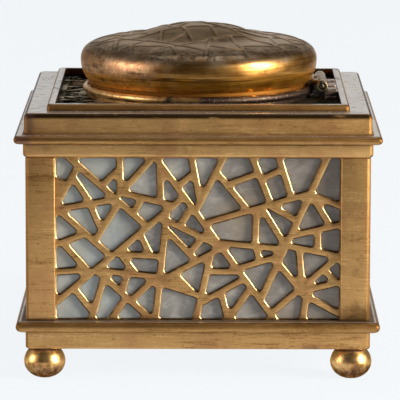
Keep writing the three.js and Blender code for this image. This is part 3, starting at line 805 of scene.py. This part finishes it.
def worked(piece, tree, values, smooth=32.0):
    """Runs a tree on a piece, with values for the tree's named inputs, and keeps the plain mesh."""
    run = piece.modifiers.new(tree.nodes.name, "NODES")
    run.node_group = tree.nodes
    sockets = {s.name: s.identifier for s in tree.nodes.interface.items_tree if s.in_out == "INPUT"}
    for title, value in values.items():
        run[sockets[title]] = value
    return baked(piece, smooth)


def repeating_tree():
    """Copies a piece: each copy is moved by a step, or turned about the vertical axis, from the last."""
    tree, given = new_tree("repeated_piece", [
        ("Count", "Int"), ("Step", "Vector"), ("Turn", "Float"), ("Finish", "Material"),
        ("Edge Finish", "Material")])
    index = tree.node("GeometryNodeInputIndex")
    move = tree.node("ShaderNodeVectorMath", {"operation": "SCALE"}, {0: given["Step"], "Scale": index})
    points = tree.node("GeometryNodePoints", None, {"Count": given["Count"], "Position": move})
    turn = tree.node("ShaderNodeCombineXYZ", None, {"Z": index * given["Turn"]})
    copies = tree.node("GeometryNodeInstanceOnPoints", None, {
        "Points": points, "Instance": given["Geometry"], "Rotation": turn})
    real = tree.node("GeometryNodeRealizeInstances", None, {"Geometry": copies})
    slot = tree.node("GeometryNodeInputMaterialIndex")
    on_edge = tree.node("FunctionNodeCompare", {
        "data_type": "INT", "operation": "GREATER_THAN"}, {2: slot, 3: 0})
    coated = tree.node("GeometryNodeSetMaterial", None, {"Geometry": real, "Material": given["Finish"]})
    edged = tree.node("GeometryNodeSetMaterial", None, {
        "Geometry": coated, "Selection": on_edge, "Material": given["Edge Finish"]})
    tree.node("NodeGroupOutput", None, {"Geometry": edged}, out=None)
    return tree


REPEATED = repeating_tree()


def repeated(piece, count, step, turn, finish, edge_finish):
    return worked(piece, REPEATED, {
        "Count": count, "Step": step, "Turn": turn, "Finish": finish, "Edge Finish": edge_finish})


def round_the_case(piece, finish, edge_finish):
    return repeated(piece, len(SIDES), (0.0, 0.0, 0.0), QUARTER, finish, edge_finish)


# Cracked-ice lattices

def area_of(cell):
    return sum(a[0] * b[1] - b[0] * a[1] for a, b in zip(cell, cell[1:] + cell[:1])) / 2


def wobble(value):
    return value - math.floor(value) - 0.5


def longest_line(cell):
    best = (0.0, 0.0)
    for x, y in cell:
        for u, v in cell:
            if math.hypot(u - x, v - y) > math.hypot(*best):
                best = (u - x, v - y)
    return best


def behind(cell, px, py, nx, ny):
    """The part of a cell behind a line through a point, whose normal points forwards."""
    kept = []
    for here, after in zip(cell, cell[1:] + cell[:1]):
        a = (here[0] - px) * nx + (here[1] - py) * ny
        b = (after[0] - px) * nx + (after[1] - py) * ny
        if a <= 0:
            kept.append(here)
        if a * b < 0:
            t = a / (a - b)
            kept.append((here[0] + (after[0] - here[0]) * t, here[1] + (after[1] - here[1]) * t))
    return kept


def cracked_ice(region, area, seed):
    """Splits a region by straight lines, the longest cell next, until the cells are small enough."""
    cells = [region]
    while len(cells) < round(area_of(region) / area):
        lengths = [math.hypot(*longest_line(cell)) for cell in cells]
        cell = cells.pop(lengths.index(max(lengths)))
        step = seed + len(cells) + 1
        along = longest_line(cell)
        shift = wobble(step * SHIFT_STRIDE) * SPLIT_SHIFT
        angle = math.atan2(along[1], along[0]) + wobble(step * TURN_STRIDE) * SPLIT_TURN
        px = sum(p[0] for p in cell) / len(cell) + along[0] * shift
        py = sum(p[1] for p in cell) / len(cell) + along[1] * shift
        nx, ny = math.cos(angle), math.sin(angle)
        cells += [behind(cell, px, py, nx, ny), behind(cell, px, py, -nx, -ny)]
    return cells


def inset(cell, distance):
    made = cell
    for (x, y), (u, v) in zip(cell, cell[1:] + cell[:1]):
        length = math.hypot(u - x, v - y)
        nx, ny = (v - y) / length, (x - u) / length
        made = behind(made, x - nx * distance, y - ny * distance, nx, ny)
    sides = zip(made, made[1:] + made[:1])
    return [p for p, q in sides if math.hypot(q[0] - p[0], q[1] - p[1]) > LEAST_SIDE]


def with_joints(cell, points):
    """A cell with the corners of its neighbours that lie on its sides."""
    made = []
    for (x, y), (u, v) in zip(cell, cell[1:] + cell[:1]):
        length = math.hypot(u - x, v - y)
        made.append((x, y))
        found = []
        for px, py in points:
            t = ((px - x) * (u - x) + (py - y) * (v - y)) / length ** 2
            off = abs((px - x) * (v - y) - (py - y) * (u - x)) / length
            if SAME_PLACE < t * length < length - SAME_PLACE and off < SAME_PLACE:
                found.append((t, (px, py)))
        for t, point in sorted(found):
            if math.hypot(point[0] - made[-1][0], point[1] - made[-1][1]) > 10 * SAME_PLACE:
                made.append(point)
    return made


def rounded_loops(hole, radius, offsets, steps=4):
    """Loops round a hole with rounded corners, each at its offset outside the hole's edge."""
    arcs = []
    for i, (x, y) in enumerate(hole):
        (px, py), (qx, qy) = hole[i - 1], hole[(i + 1) % len(hole)]
        before, after = math.hypot(x - px, y - py), math.hypot(qx - x, qy - y)
        start = math.atan2(-(x - px), y - py)
        end = math.atan2(-(qx - x), qy - y)
        turn = (end - start) % (2 * math.pi)
        half = (math.pi - turn) / 2
        r = min(radius, 0.45 * min(before, after) * math.tan(half))
        bx = math.cos(start + turn / 2)
        by = math.sin(start + turn / 2)
        reach = r / math.sin(half)
        turns = [start + turn * k / steps for k in range(steps + 1)]
        arcs.append((x - bx * reach, y - by * reach, r, turns))
    return [[(cx + (r + t) * math.cos(a), cy + (r + t) * math.sin(a))
             for cx, cy, r, turns in arcs for a in turns] for t in offsets]


# How a bar's front edge is rounded: how far each loop lies outside the hole's edge, and its depth.
EDGE_PROFILE = ((0.36, 0.0), (0.2, 0.06), (0.07, 0.19), (0.0, 0.38))


def pierced_sheet(name, region, outline, cells, to_place):
    """A pierced sheet with rounded bars. A function, to_place, puts (u, v, depth) in the case."""
    solid = bmesh.new()
    points = [p for cell in cells for p in cell] + list(region)

    def loop_of(flat, depth):
        return [corner(solid, *to_place(u, v, depth)) for u, v in flat]

    def ring(outer, inner, depth):
        flat = [[Vector((u, v, 0)) for u, v in loop] for loop in (outer, inner)]
        made = loop_of(outer, depth) + loop_of(inner, depth)
        for corners in tessellate_polygon(flat):
            solid.faces.new([made[k] for k in corners])
        return made[len(outer):]

    for cell in cells:
        whole = with_joints(cell, points)
        hole = inset(cell, BAR_WIDTH / 2)
        if len(hole) < 3 or area_of(hole) <= BAR_WIDTH ** 2:
            face(solid, loop_of(whole, 0.0))
            face(solid, loop_of(whole, LATTICE_THICKNESS))
            continue
        loops = rounded_loops(hole, HOLE_ROUND, [outside for outside, _ in EDGE_PROFILE])
        made = [ring(whole, loops[0], 0.0)]
        made += [loop_of(flat, depth) for flat, (_, depth) in list(zip(loops, EDGE_PROFILE))[1:]]
        made.append(ring(whole, loops[-1], LATTICE_THICKNESS))
        for low, high in zip(made, made[1:]):
            for i in range(len(low)):
                n = (i + 1) % len(low)
                face(solid, [low[i], low[n], high[n], high[i]], 1)
    border = with_joints(region, points)
    for depth in (0.0, LATTICE_THICKNESS):
        ring(outline, border, depth)
    strips(solid, [loop_of(outline, 0.0), loop_of(outline, LATTICE_THICKNESS)], False)
    sheet = finished(name, solid, [GILT, HIGHLIGHT_EDGE], 30.0, SHEET_WELD)
    sort_edges(sheet.data)
    return sheet


def make_walls():
    region = rectangle(-BAR_REACH, BAR_REACH, BAR_BOTTOM, BAR_TOP)
    sheet = rectangle(-LATTICE_SHEET_REACH, LATTICE_SHEET_REACH, 0.0, LATTICE_SHEET_HEIGHT)
    for i, side in enumerate(SIDES):
        c, s = math.cos(i * QUARTER), math.sin(i * QUARTER)

        def on_wall(u, v, depth):
            y = -(LATTICE_BACK + LATTICE_THICKNESS - depth)
            return u * c - y * s, u * s + y * c, RABBET_FLOOR + v

        cells = cracked_ice(region, CELL_AREA, i)
        wall = pierced_sheet("wall_lattice_" + side, region, sheet, cells, on_wall)
        placed(wall, "case", "gilt", "lattice_" + side)
        make_pane(side, i)


def make_pane(side, i):
    """Glass pane with the slight waves of rolled glass on its face."""
    solid = bmesh.new()
    columns, rows = 72, 44
    turn = Matrix.Rotation(i * QUARTER, 3, "Z")

    def waves(x, z):
        long_wave = noise.noise(Vector((x / 9 + i * 7, z / 14, i * 3.1)))
        short_wave = noise.noise(Vector((x / 3, z / 5, i)))
        return -PANE_FACE + WAVE_DEPTH * (1 + (long_wave + 0.5 * short_wave) * WAVE_SHARE)

    def grid(depth_of):
        lines = []
        for r in range(rows + 1):
            z = RABBET_FLOOR + (PANE_TOP - RABBET_FLOOR) * r / rows
            places = [-PANE_REACH + 2 * PANE_REACH * k / columns for k in range(columns + 1)]
            lines.append([corner(solid, *(turn @ Vector((x, depth_of(x, z), z)))) for x in places])
        return lines

    def edge_of(lines):
        return (lines[0] + [line[-1] for line in lines[1:]] + lines[-1][-2::-1]
                + [line[0] for line in lines[-2:0:-1]])

    front = grid(waves)
    back = grid(lambda x, z: -PANE_BACK)
    for lines, flip in ((front, False), (back, True)):
        for r in range(rows):
            for k in range(columns):
                quad = [lines[r][k], lines[r][k + 1], lines[r + 1][k + 1], lines[r + 1][k]]
                face(solid, quad[::-1] if flip else quad)
    strips(solid, [edge_of(front), edge_of(back)], False)
    placed(finished("glass_pane_" + side, solid, [MARBLED]), "case", "marbled_glass", "pane_" + side)


# Case

# Half the outline of a ball foot, from its flat to its neck.
FOOT_OUTLINE = [
    (2.0, 0), (3.25, 0.5), (4.6, 1.55), (5.48, 2.95), (5.8, 4.5), (5.64, 5.7), (5.22, 6.8), (4.68, 7.65),
    (4.3, 8.15)]


def make_base():
    solid = bmesh.new()
    mitred(solid, [
        (LEDGE_REACH, PLATE_RABBET_TOP), (PLATE_RABBET_REACH, PLATE_RABBET_TOP),
        (PLATE_RABBET_REACH, BAND_BOTTOM),
        *arc(BAND_REACH - EDGE_ROUND, BAND_BOTTOM + EDGE_ROUND, EDGE_ROUND, -90, 0),
        (BAND_REACH, BASE_BEAD_BOTTOM), *bead(BASE_BEAD_REACH, BASE_BEAD_BOTTOM, BASE_TOP - BASE_BEAD_BOTTOM),
        (POST_BACK, BASE_TOP), (POST_BACK, RABBET_FLOOR), (LEDGE_REACH, RABBET_FLOOR)], POST_BACK)
    placed(finished("base_moulding", solid, [GILT]), "case", "gilt", "base_frame")

    solid = bmesh.new()
    turned(solid, [
        (0, 0), *smooth_curve(FOOT_OUTLINE, 40), (FOOT_NECK - 0.15, 8.32), (FOOT_NECK, 8.5),
        (FOOT_NECK, BAND_BOTTOM), (STUD_REACH, BAND_BOTTOM), (STUD_REACH, STUD_TOP), (0, STUD_TOP)], 56)
    solid.transform(Matrix.Translation((FOOT_REACH * MM, -FOOT_REACH * MM, 0)))
    feet = round_the_case(finished("ball_feet", solid, [POLISHED]), POLISHED, POLISHED)
    placed(feet, "case", "gilt", *["foot_%d" % (k + 1) for k in range(4)])


def make_posts():
    solid = bmesh.new()
    prism(solid, [
        (OPENING_REACH, -POST_FACE),
        *arc(POST_FACE - POST_ROUND, -POST_FACE + POST_ROUND, POST_ROUND, -90, 0),
        (POST_FACE, -OPENING_REACH), (POST_BACK, -OPENING_REACH), (POST_BACK, -POST_BACK),
        (OPENING_REACH, -POST_BACK)], BASE_TOP, CORNICE_BOTTOM)
    post = eased(finished("corner_posts", solid, [GILT, HIGHLIGHT_EDGE]), POST_EDGE_ROUND, 3, 1, 50.0)
    posts = round_the_case(post, GILT, HIGHLIGHT_EDGE)
    sort_edges(posts.data)
    placed(posts, "case", "gilt", *["corner_post_%d" % (k + 1) for k in range(4)])


def make_cornice():
    solid = bmesh.new()
    mitred(solid, [
        (CORNICE_INNER_REACH, CORNICE_BOTTOM),
        *arc(FASCIA_REACH - FASCIA_ROUND, CORNICE_BOTTOM + FASCIA_ROUND, FASCIA_ROUND, -90, 0),
        (FASCIA_REACH, CORNICE_BEAD_BOTTOM),
        *bead(CORNICE_BEAD_REACH, CORNICE_BEAD_BOTTOM, CORNICE_BEAD_TOP - CORNICE_BEAD_BOTTOM),
        *arc(UPPER_FASCIA_REACH + COVE_ROUND, CORNICE_BEAD_TOP + COVE_ROUND, COVE_ROUND, 270, 180, 6),
        *arc(UPPER_FASCIA_REACH - TOP_ROUND, CORNICE_TOP - TOP_ROUND, TOP_ROUND, 0, 90, 12),
        (DECK_RABBET, CORNICE_TOP), (DECK_RABBET, SHELF_TOP), (DECK_RABBET - SHELF_WIDTH, SHELF_TOP),
        (DECK_RABBET - SHELF_WIDTH, SHELF_BOTTOM), (DECK_RABBET + SHELF_WIDTH, SHELF_BOTTOM),
        (DECK_RABBET + SHELF_WIDTH, SHELF_TOP), (CORNICE_INNER_REACH, SHELF_TOP)], CORNICE_INNER_REACH)
    placed(finished("cornice_moulding", solid, [GILT]), "case", "gilt", "cornice")

    solid = bmesh.new()
    mitred(solid, [
        (RIM_INNER, CORNICE_TOP), (RIM_OUTER, CORNICE_TOP),
        *arc(RIM_OUTER - RIM_ROUND, RIM_TOP - RIM_ROUND, RIM_ROUND, 0, 90),
        (RIM_INNER + 0.2, RIM_TOP), (RIM_INNER + 0.06, RIM_TOP - 0.06), (RIM_INNER, RIM_TOP - 0.2)],
        RIM_INNER + RIM_ROUND)
    placed(finished("rim_frame", solid, [RIM_SHADED_GILT]), "case", "gilt", "rim_moulding")


def make_deck():
    """Pierced deck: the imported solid, with the triangles of its flat faces joined."""
    solid = bmesh.new()
    solid.from_mesh(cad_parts["deck_lattice"].data)
    bmesh.ops.remove_doubles(solid, verts=solid.verts, dist=DECK_WELD)
    bmesh.ops.dissolve_limit(solid, angle_limit=math.radians(1.0), verts=solid.verts, edges=solid.edges)
    placed(finished("pierced_deck", solid, [DECK]), "case", "gilt", "deck_lattice")


def make_collar():
    solid = bmesh.new()
    turned(solid, [
        (SKIRT_BORE, SKIRT_BOTTOM), (SKIRT_REACH, SKIRT_BOTTOM), (SKIRT_REACH, DECK_TOP),
        (COLLAR_FOOT, DECK_TOP),
        *arc(COLLAR_BEAD_REACH, COLLAR_BEAD_HEIGHT, COLLAR_BEAD_RADIUS, -90, 90, 14),
        (SEAT_REACH + 0.05, SEAT_HEIGHT + 0.25), (SEAT_REACH, SEAT_HEIGHT + 0.15), (SEAT_REACH, SEAT_HEIGHT),
        (NECK_REACH, SEAT_HEIGHT), (NECK_REACH, NECK_TOP - NECK_EASE), (NECK_REACH - NECK_EASE, NECK_TOP),
        (NECK_BORE + NECK_EASE, NECK_TOP), (NECK_BORE, NECK_TOP - NECK_EASE), (NECK_BORE, CUP_LEDGE),
        (SKIRT_BORE, CUP_LEDGE)], 144)
    placed(finished("turned_collar", solid, [COLLAR]), "case", "gilt", "cup_collar")


def make_cup():
    flange, bore = CUP_FLANGE_REACH - CUP_LIP, CUP_BORE + CUP_LIP
    solid = bmesh.new()
    turned(solid, [
        (0, CUP_BOTTOM + 0.8), (12, CUP_BOTTOM + 0.6), (15.0, CUP_BOTTOM),
        *arc(CUP_FOOT - CUP_ROUND, CUP_BOTTOM + CUP_ROUND, CUP_ROUND, -90, 0),
        (CUP_BORE + CUP_WALL, CUP_FLANGE), (CUP_FLANGE_REACH, CUP_FLANGE),
        *arc(flange, CUP_RIM - CUP_LIP, CUP_LIP, 0, 90, 5),
        *arc(bore, CUP_RIM - CUP_LIP, CUP_LIP, 90, 180, 5),
        *arc(CUP_FOOT - CUP_WALL - CUP_ROUND, CUP_FLOOR + CUP_ROUND, CUP_ROUND, 0, -90), (0, CUP_FLOOR)], 96)
    placed(finished("ink_glass", solid, [CLEAR]), "cup", "clear_glass", "ink_cup")


# Lid

# Half the outline of the lid, from its mouth to its crown, as shares of its radius and rise.
LID_SHARES = [
    (0.938, 0), (0.968, 0.105), (0.991, 0.22), (1, 0.353), (0.993, 0.47), (0.962, 0.575), (0.9, 0.655),
    (0.812, 0.712), (0.7, 0.748), (0.6, 0.765), (0.53, 0.79), (0.44, 0.85), (0.35, 0.91), (0.2, 0.972),
    (0, 1)]

# The lid's mesh: steps round it and, for each face, how many points its curve has and their least gap.
LID_STEPS = 420
LID_OUTSIDE = (900, 0.33)
LID_INSIDE = (300, 1.4)

# The net of raised lines on the lid: half its width, the area of a cell and the seed of its splitting lines.
NET_REACH = 33.0
NET_CELL = 62.0
NET_SEED = 21
TRACERY = {
    "Line Width": 0.8 * MM, "Slope": 0.4 * MM, "Depth": 0.2 * MM, "Reach": 32.2 * MM, "Fade": 1.4 * MM}


def lid_curve(grow, steps, step):
    """The lid's outline, grown outwards or shrunk by a wall, with its points at least a step apart."""
    curve = smooth_curve(
        [((LID_RADIUS + grow) * r, LID_MOUTH + (LID_RISE + grow) * h) for r, h in LID_SHARES], steps)
    made = [curve[0]]
    for point in curve[1:-1]:
        if math.hypot(point[0] - made[-1][0], point[1] - made[-1][1]) >= step:
            made.append(point)
    return made + [(0.0, curve[-1][1])]


def tracery_tree():
    """Leaves the lines of a net, drawn on the floor below a surface, and sinks the field between them."""
    tree, given = new_tree("raised_tracery", [("Net", "Object"), *((title, "Float") for title in TRACERY)])
    reach, fade, slope = given["Reach"], given["Fade"], given["Slope"]
    half = given["Line Width"] * 0.5

    def fall(value, low, high):
        return tree.node("ShaderNodeMapRange", {"interpolation_type": "SMOOTHSTEP"}, {
            "Value": value, "From Min": low, "From Max": high, "To Min": 1.0, "To Max": 0.0})

    def noted(geometry, name, value):
        return tree.node("GeometryNodeStoreNamedAttribute", {"data_type": "FLOAT", "domain": "POINT"}, {
            "Geometry": geometry, "Name": name, "Value": value})

    place = tree.node("GeometryNodeInputPosition")
    below = tree.node("ShaderNodeCombineXYZ", None, {"X": tree.part(place, "X"), "Y": tree.part(place, "Y")})
    away = tree.node("ShaderNodeVectorMath", {"operation": "LENGTH"}, {0: below}, out="Value")
    net = tree.node("GeometryNodeObjectInfo", {"transform_space": "RELATIVE"}, {
        "Object": given["Net"]}, out="Geometry")
    near = tree.node("GeometryNodeProximity", {"target_element": "EDGES"}, {
        "Geometry": net, "Sample Position": below}, out="Distance")
    normal = tree.node("GeometryNodeInputNormal")
    outside = 1 - fall(tree.part(normal, "Z"), 0.15, 0.45)
    field = fall(away, reach - fade, reach) * outside
    edge_line = fall((away - reach + fade * 0.5).size(), half * 0.8, half + slope)
    raised = fall(near, half, half + slope).highest(edge_line)
    sink = (1 - raised) * field * given["Depth"] * -1.0
    offset = tree.node("ShaderNodeVectorMath", {"operation": "SCALE"}, {0: normal, "Scale": sink})
    moved = tree.node("GeometryNodeSetPosition", None, {"Geometry": given["Geometry"], "Offset": offset})
    marked = noted(noted(moved, "relief", raised * field), "field", field)
    real = tree.node("GeometryNodeRealizeInstances", None, {"Geometry": marked})
    coated = tree.node("GeometryNodeSetMaterial", None, {"Geometry": real, "Material": LID})
    tree.node("NodeGroupOutput", None, {"Geometry": coated}, out=None)
    return tree


def net_of(cells):
    """The lines of a pattern as bare edges on the floor."""
    solid = bmesh.new()
    for cell in cells:
        corners = [corner(solid, x, y, 0) for x, y in cell]
        for a, b in zip(corners, corners[1:] + corners[:1]):
            solid.edges.new((a, b))
    mesh = bpy.data.meshes.new("net")
    solid.to_mesh(mesh)
    solid.free()
    net = bpy.data.objects.new("net", mesh)
    bpy.context.scene.collection.objects.link(net)
    return net


def make_lid():
    solid = bmesh.new()
    lip = [
        (LIP_BORE, LID_MOUTH), (LIP_BORE, LIP_BOTTOM + LIP_EASE), (LIP_BORE + LIP_EASE, LIP_BOTTOM),
        (LIP_REACH - LIP_EASE, LIP_BOTTOM), (LIP_REACH, LIP_BOTTOM + LIP_EASE), (LIP_REACH, LID_MOUTH - 0.1)]
    turned(solid, lid_curve(-LID_WALL, *LID_INSIDE)[::-1] + lip + lid_curve(0, *LID_OUTSIDE), LID_STEPS)
    lid = finished("lid_shell", solid, [LID], LID_SMOOTH)
    net = net_of(cracked_ice(rectangle(-NET_REACH, NET_REACH, -NET_REACH, NET_REACH), NET_CELL, NET_SEED))
    worked(lid, tracery_tree(), {"Net": net, **TRACERY}, LID_SMOOTH)
    bpy.data.objects.remove(net)
    placed(lid, "lid", "lid_bronze", "lid_dome")


# Hinge

# Each leaf's places for knuckles along the barrel, its flat (x, y and z from and to), and how far the block
# behind a knuckle reaches (x and z from and to).
FIXED_PLACES = (0, 2, 4)
FIXED_FLAT = (36.1, LEAF_REACH, -BARREL_HALF, BARREL_HALF, DECK_TOP, DECK_TOP + LEAF_THICKNESS)
FIXED_BLOCK = (HINGE_REACH + PIN_RADIUS, LEAF_REACH, DECK_TOP + 0.4, DECK_TOP + LEAF_BLOCK_RISE)
LID_PLACES = (1, 3)
LID_FLAT = (31.3, 33.3, -6.7, 6.7, 77.9, 79.4)
LID_BLOCK = (33.0, HINGE_REACH - 0.6, 78.0, 79.3)


def start_of(place):
    return -BARREL_HALF + place * KNUCKLE_PITCH + KNUCKLE_GAP / 2


def between_ends(end, low, high):
    """An outline whose two ends are alike. An end is a list of (reach, distance in from the end) pairs."""
    return [(reach, low + up) for reach, up in end] + [(reach, high - up) for reach, up in end[::-1]]


def knuckles(name, body, node, places):
    """Knuckles of one leaf, in a row along the axis, every second place."""
    solid = bmesh.new()
    end = [(KNUCKLE_BORE, 0), (KNUCKLE_RADIUS - KNUCKLE_ROUND, 0), (KNUCKLE_RADIUS - 0.06, 0.08),
           (KNUCKLE_RADIUS, KNUCKLE_ROUND)]
    turned(solid, between_ends(end, KNUCKLE_INSET, KNUCKLE_PITCH - KNUCKLE_GAP - KNUCKLE_INSET), 40)
    on_hinge(solid)
    solid.transform(Matrix.Translation((0, start_of(places[0]) * MM, 0)))
    step = (0.0, 2 * KNUCKLE_PITCH * MM, 0.0)
    row = repeated(finished(name, solid, [AGED]), len(places), step, 0.0, AGED, AGED)
    placed(row, body, "aged_brass", node)


def leaf(name, body, node, finish, flat, places, block, ease):
    """A leaf with a block behind each knuckle, its edges eased."""
    solid = bmesh.new()
    prism(solid, rectangle(*flat[:4]), *flat[4:])
    for place in places:
        start = start_of(place) + BLOCK_INSET
        end = start + KNUCKLE_PITCH - KNUCKLE_GAP - 2 * BLOCK_INSET
        prism(solid, rectangle(*block[:2], start, end), *block[2:])
    placed(baked(eased(finished(name, solid, [finish]), ease, 3)), body, "aged_brass", node)


def make_hinge():
    knuckles("fixed_leaf_knuckles", "case", "fixed_leaf", FIXED_PLACES)
    leaf("fixed_hinge_leaf", "case", "fixed_leaf", LEAF, FIXED_FLAT, FIXED_PLACES, FIXED_BLOCK, 0.18)
    knuckles("lid_leaf_knuckles", "lid", "lid_leaf", LID_PLACES)
    leaf("lid_hinge_leaf", "lid", "lid_leaf", AGED, LID_FLAT, LID_PLACES, LID_BLOCK, 0.16)

    solid = bmesh.new()
    end = [(0, 0), (0.45, 0.03), (0.68, 0.15), (PIN_RADIUS, 0.35)]
    turned(solid, between_ends(end, -PIN_HALF, PIN_HALF), 32)
    on_hinge(solid)
    placed(finished("hinge_rod", solid, [STEEL]), "case", "steel", "hinge_pin")


# Studio

# The camera, fitted to the photograph: its place, its pitch, yaw and roll in degrees, and its lens.
CAMERA_PLACE = (2.54, -1079.1, 214.98)
CAMERA_TURNS = (-9.04, -0.111, 0.121)
SENSOR_WIDTH = 36.0
LENS = 339.08

FLOOR_LEVEL = -0.2


def make_camera():
    """The photograph's view: far off, a little above the top, and looking slightly down."""
    pitch, yaw, roll = (math.radians(turn) for turn in CAMERA_TURNS)
    ahead = Vector((math.sin(yaw) * math.cos(pitch), math.cos(yaw) * math.cos(pitch), math.sin(pitch)))
    level = Vector((math.cos(yaw), -math.sin(yaw), 0))
    rise = level.cross(ahead)
    across = level * math.cos(roll) + rise * math.sin(roll)
    up = rise * math.cos(roll) - level * math.sin(roll)
    camera = bpy.data.objects.new("camera", bpy.data.cameras.new("camera"))
    camera.data.sensor_width = SENSOR_WIDTH
    camera.data.lens = LENS
    camera.data.clip_end = 20.0
    rows = [(across[k], up[k], -ahead[k], CAMERA_PLACE[k] * MM) for k in range(3)]
    camera.matrix_world = Matrix((*rows, (0, 0, 0, 1)))
    bpy.context.scene.collection.objects.link(camera)
    bpy.context.scene.camera = camera


def soft_light(name, place, target, width, height, power, colour=(1, 1, 1)):
    light = bpy.data.lights.new(name, "AREA")
    light.shape = "ELLIPSE"
    light.size = width
    light.size_y = height
    light.energy = power
    light.color = colour
    lamp = bpy.data.objects.new(name, light)
    lamp.location = place
    lamp.rotation_euler = (Vector(target) - Vector(place)).to_track_quat("-Z", "Y").to_euler()
    bpy.context.scene.collection.objects.link(lamp)


def matt_finish(name, length, dark, light, more=None):
    f = Finish(name)
    colour = f.ramp(f.grain(length, 2.0, 0.5), [(0.3, (dark,) * 3), (0.7, (light,) * 3)])
    return f.shaded(colour, 0.9, 0.0, None, {"Specular IOR Level": 0.0, **(more or {})})


def stage_sheet(name, corners, finish):
    """A flat sheet, in metres, for the studio."""
    solid = bmesh.new()
    solid.faces.new([solid.verts.new(place) for place in corners])
    sheet = finished(name, solid, [finish])
    return sheet


def card(name, start, end, height, grey):
    """A card that stands on edge beside the object and shows only in the metal's reflections."""
    corners = [(*place, z) for place, z in ((start, 0.0), (end, 0.0), (end, height), (start, height))]
    sheet = stage_sheet(name, corners, matt_finish(name, 120.0, grey * 0.8, grey * 1.2))
    sheet.visible_camera = False
    sheet.visible_diffuse = False
    sheet.visible_shadow = False


def make_studio():
    """A floor lit from below, which leaves next to no shadow, a pale sky, three cards and three lights."""
    pale = matt_finish("pale_floor", 300.0, 0.05, 0.055, {
        "Emission Color": (0.85, 0.883, 0.908, 1.0), "Emission Strength": 1.0})
    stage_sheet("studio_floor", [(x, y, FLOOR_LEVEL * MM) for x, y in rectangle(-6, 6, -6, 9)], pale)
    card("front_card", (-0.28, -0.26), (0.28, -0.26), 0.6, 0.05)
    card("left_card", (-0.35, 0.0), (-0.35, 0.8), 0.5, 0.2)
    card("right_card", (0.35, 0.0), (0.35, 0.8), 0.5, 0.2)
    world = bpy.data.worlds.new("studio")
    bpy.context.scene.world = world
    world.use_nodes = True
    world.node_tree.nodes.clear()
    air = Tree(world.node_tree)
    height = air.part(air.node("ShaderNodeTexCoord", out="Generated"), "Z")
    sky = air.node("ShaderNodeValToRGB", {"stops": [
        (0.0, (0.88, 0.92, 0.94)), (0.26, (0.82, 0.85, 0.88)), (0.55, (0.34, 0.35, 0.37)),
        (0.85, (0.13, 0.135, 0.14))]}, {"Fac": height})
    glow = air.node("ShaderNodeBackground", None, {"Color": sky, "Strength": 1.0}, out="Background")
    air.node("ShaderNodeOutputWorld", None, {"Surface": glow}, out=None)
    soft_light("right_softbox", (0.95, -0.50, 0.31), (0, 0, 0.06), 0.34, 0.74, 26.5, (1.0, 0.95, 0.84))
    soft_light("left_softbox", (-1.0, -0.32, 0.27), (0, 0, 0.06), 0.46, 0.70, 5.3, (1.0, 0.87, 0.80))
    soft_light("top_softbox", (0.1, 0.25, 1.5), (0, 0, 0.0), 1.2, 1.2, 3.5)


def coat_the_rest():
    """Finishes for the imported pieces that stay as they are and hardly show."""
    carried = {"base_plate": AGED, "deck_backing": DARK, "lock_ring": AGED}
    carried.update({"leaf_screw_%d" % k: STEEL for k in (1, 2)})
    carried.update({"clip_%s_%d" % (side, k): AGED for side in SIDES for k in (1, 2)})
    for name, finish in carried.items():
        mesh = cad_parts[name].data
        mesh.materials.clear()
        mesh.materials.append(finish)


make_camera()
make_studio()
make_base()
make_posts()
make_walls()
make_cornice()
make_deck()
make_collar()
make_cup()
make_lid()
make_hinge()
coat_the_rest()
bpy.context.scene.view_settings.view_transform = "Standard"
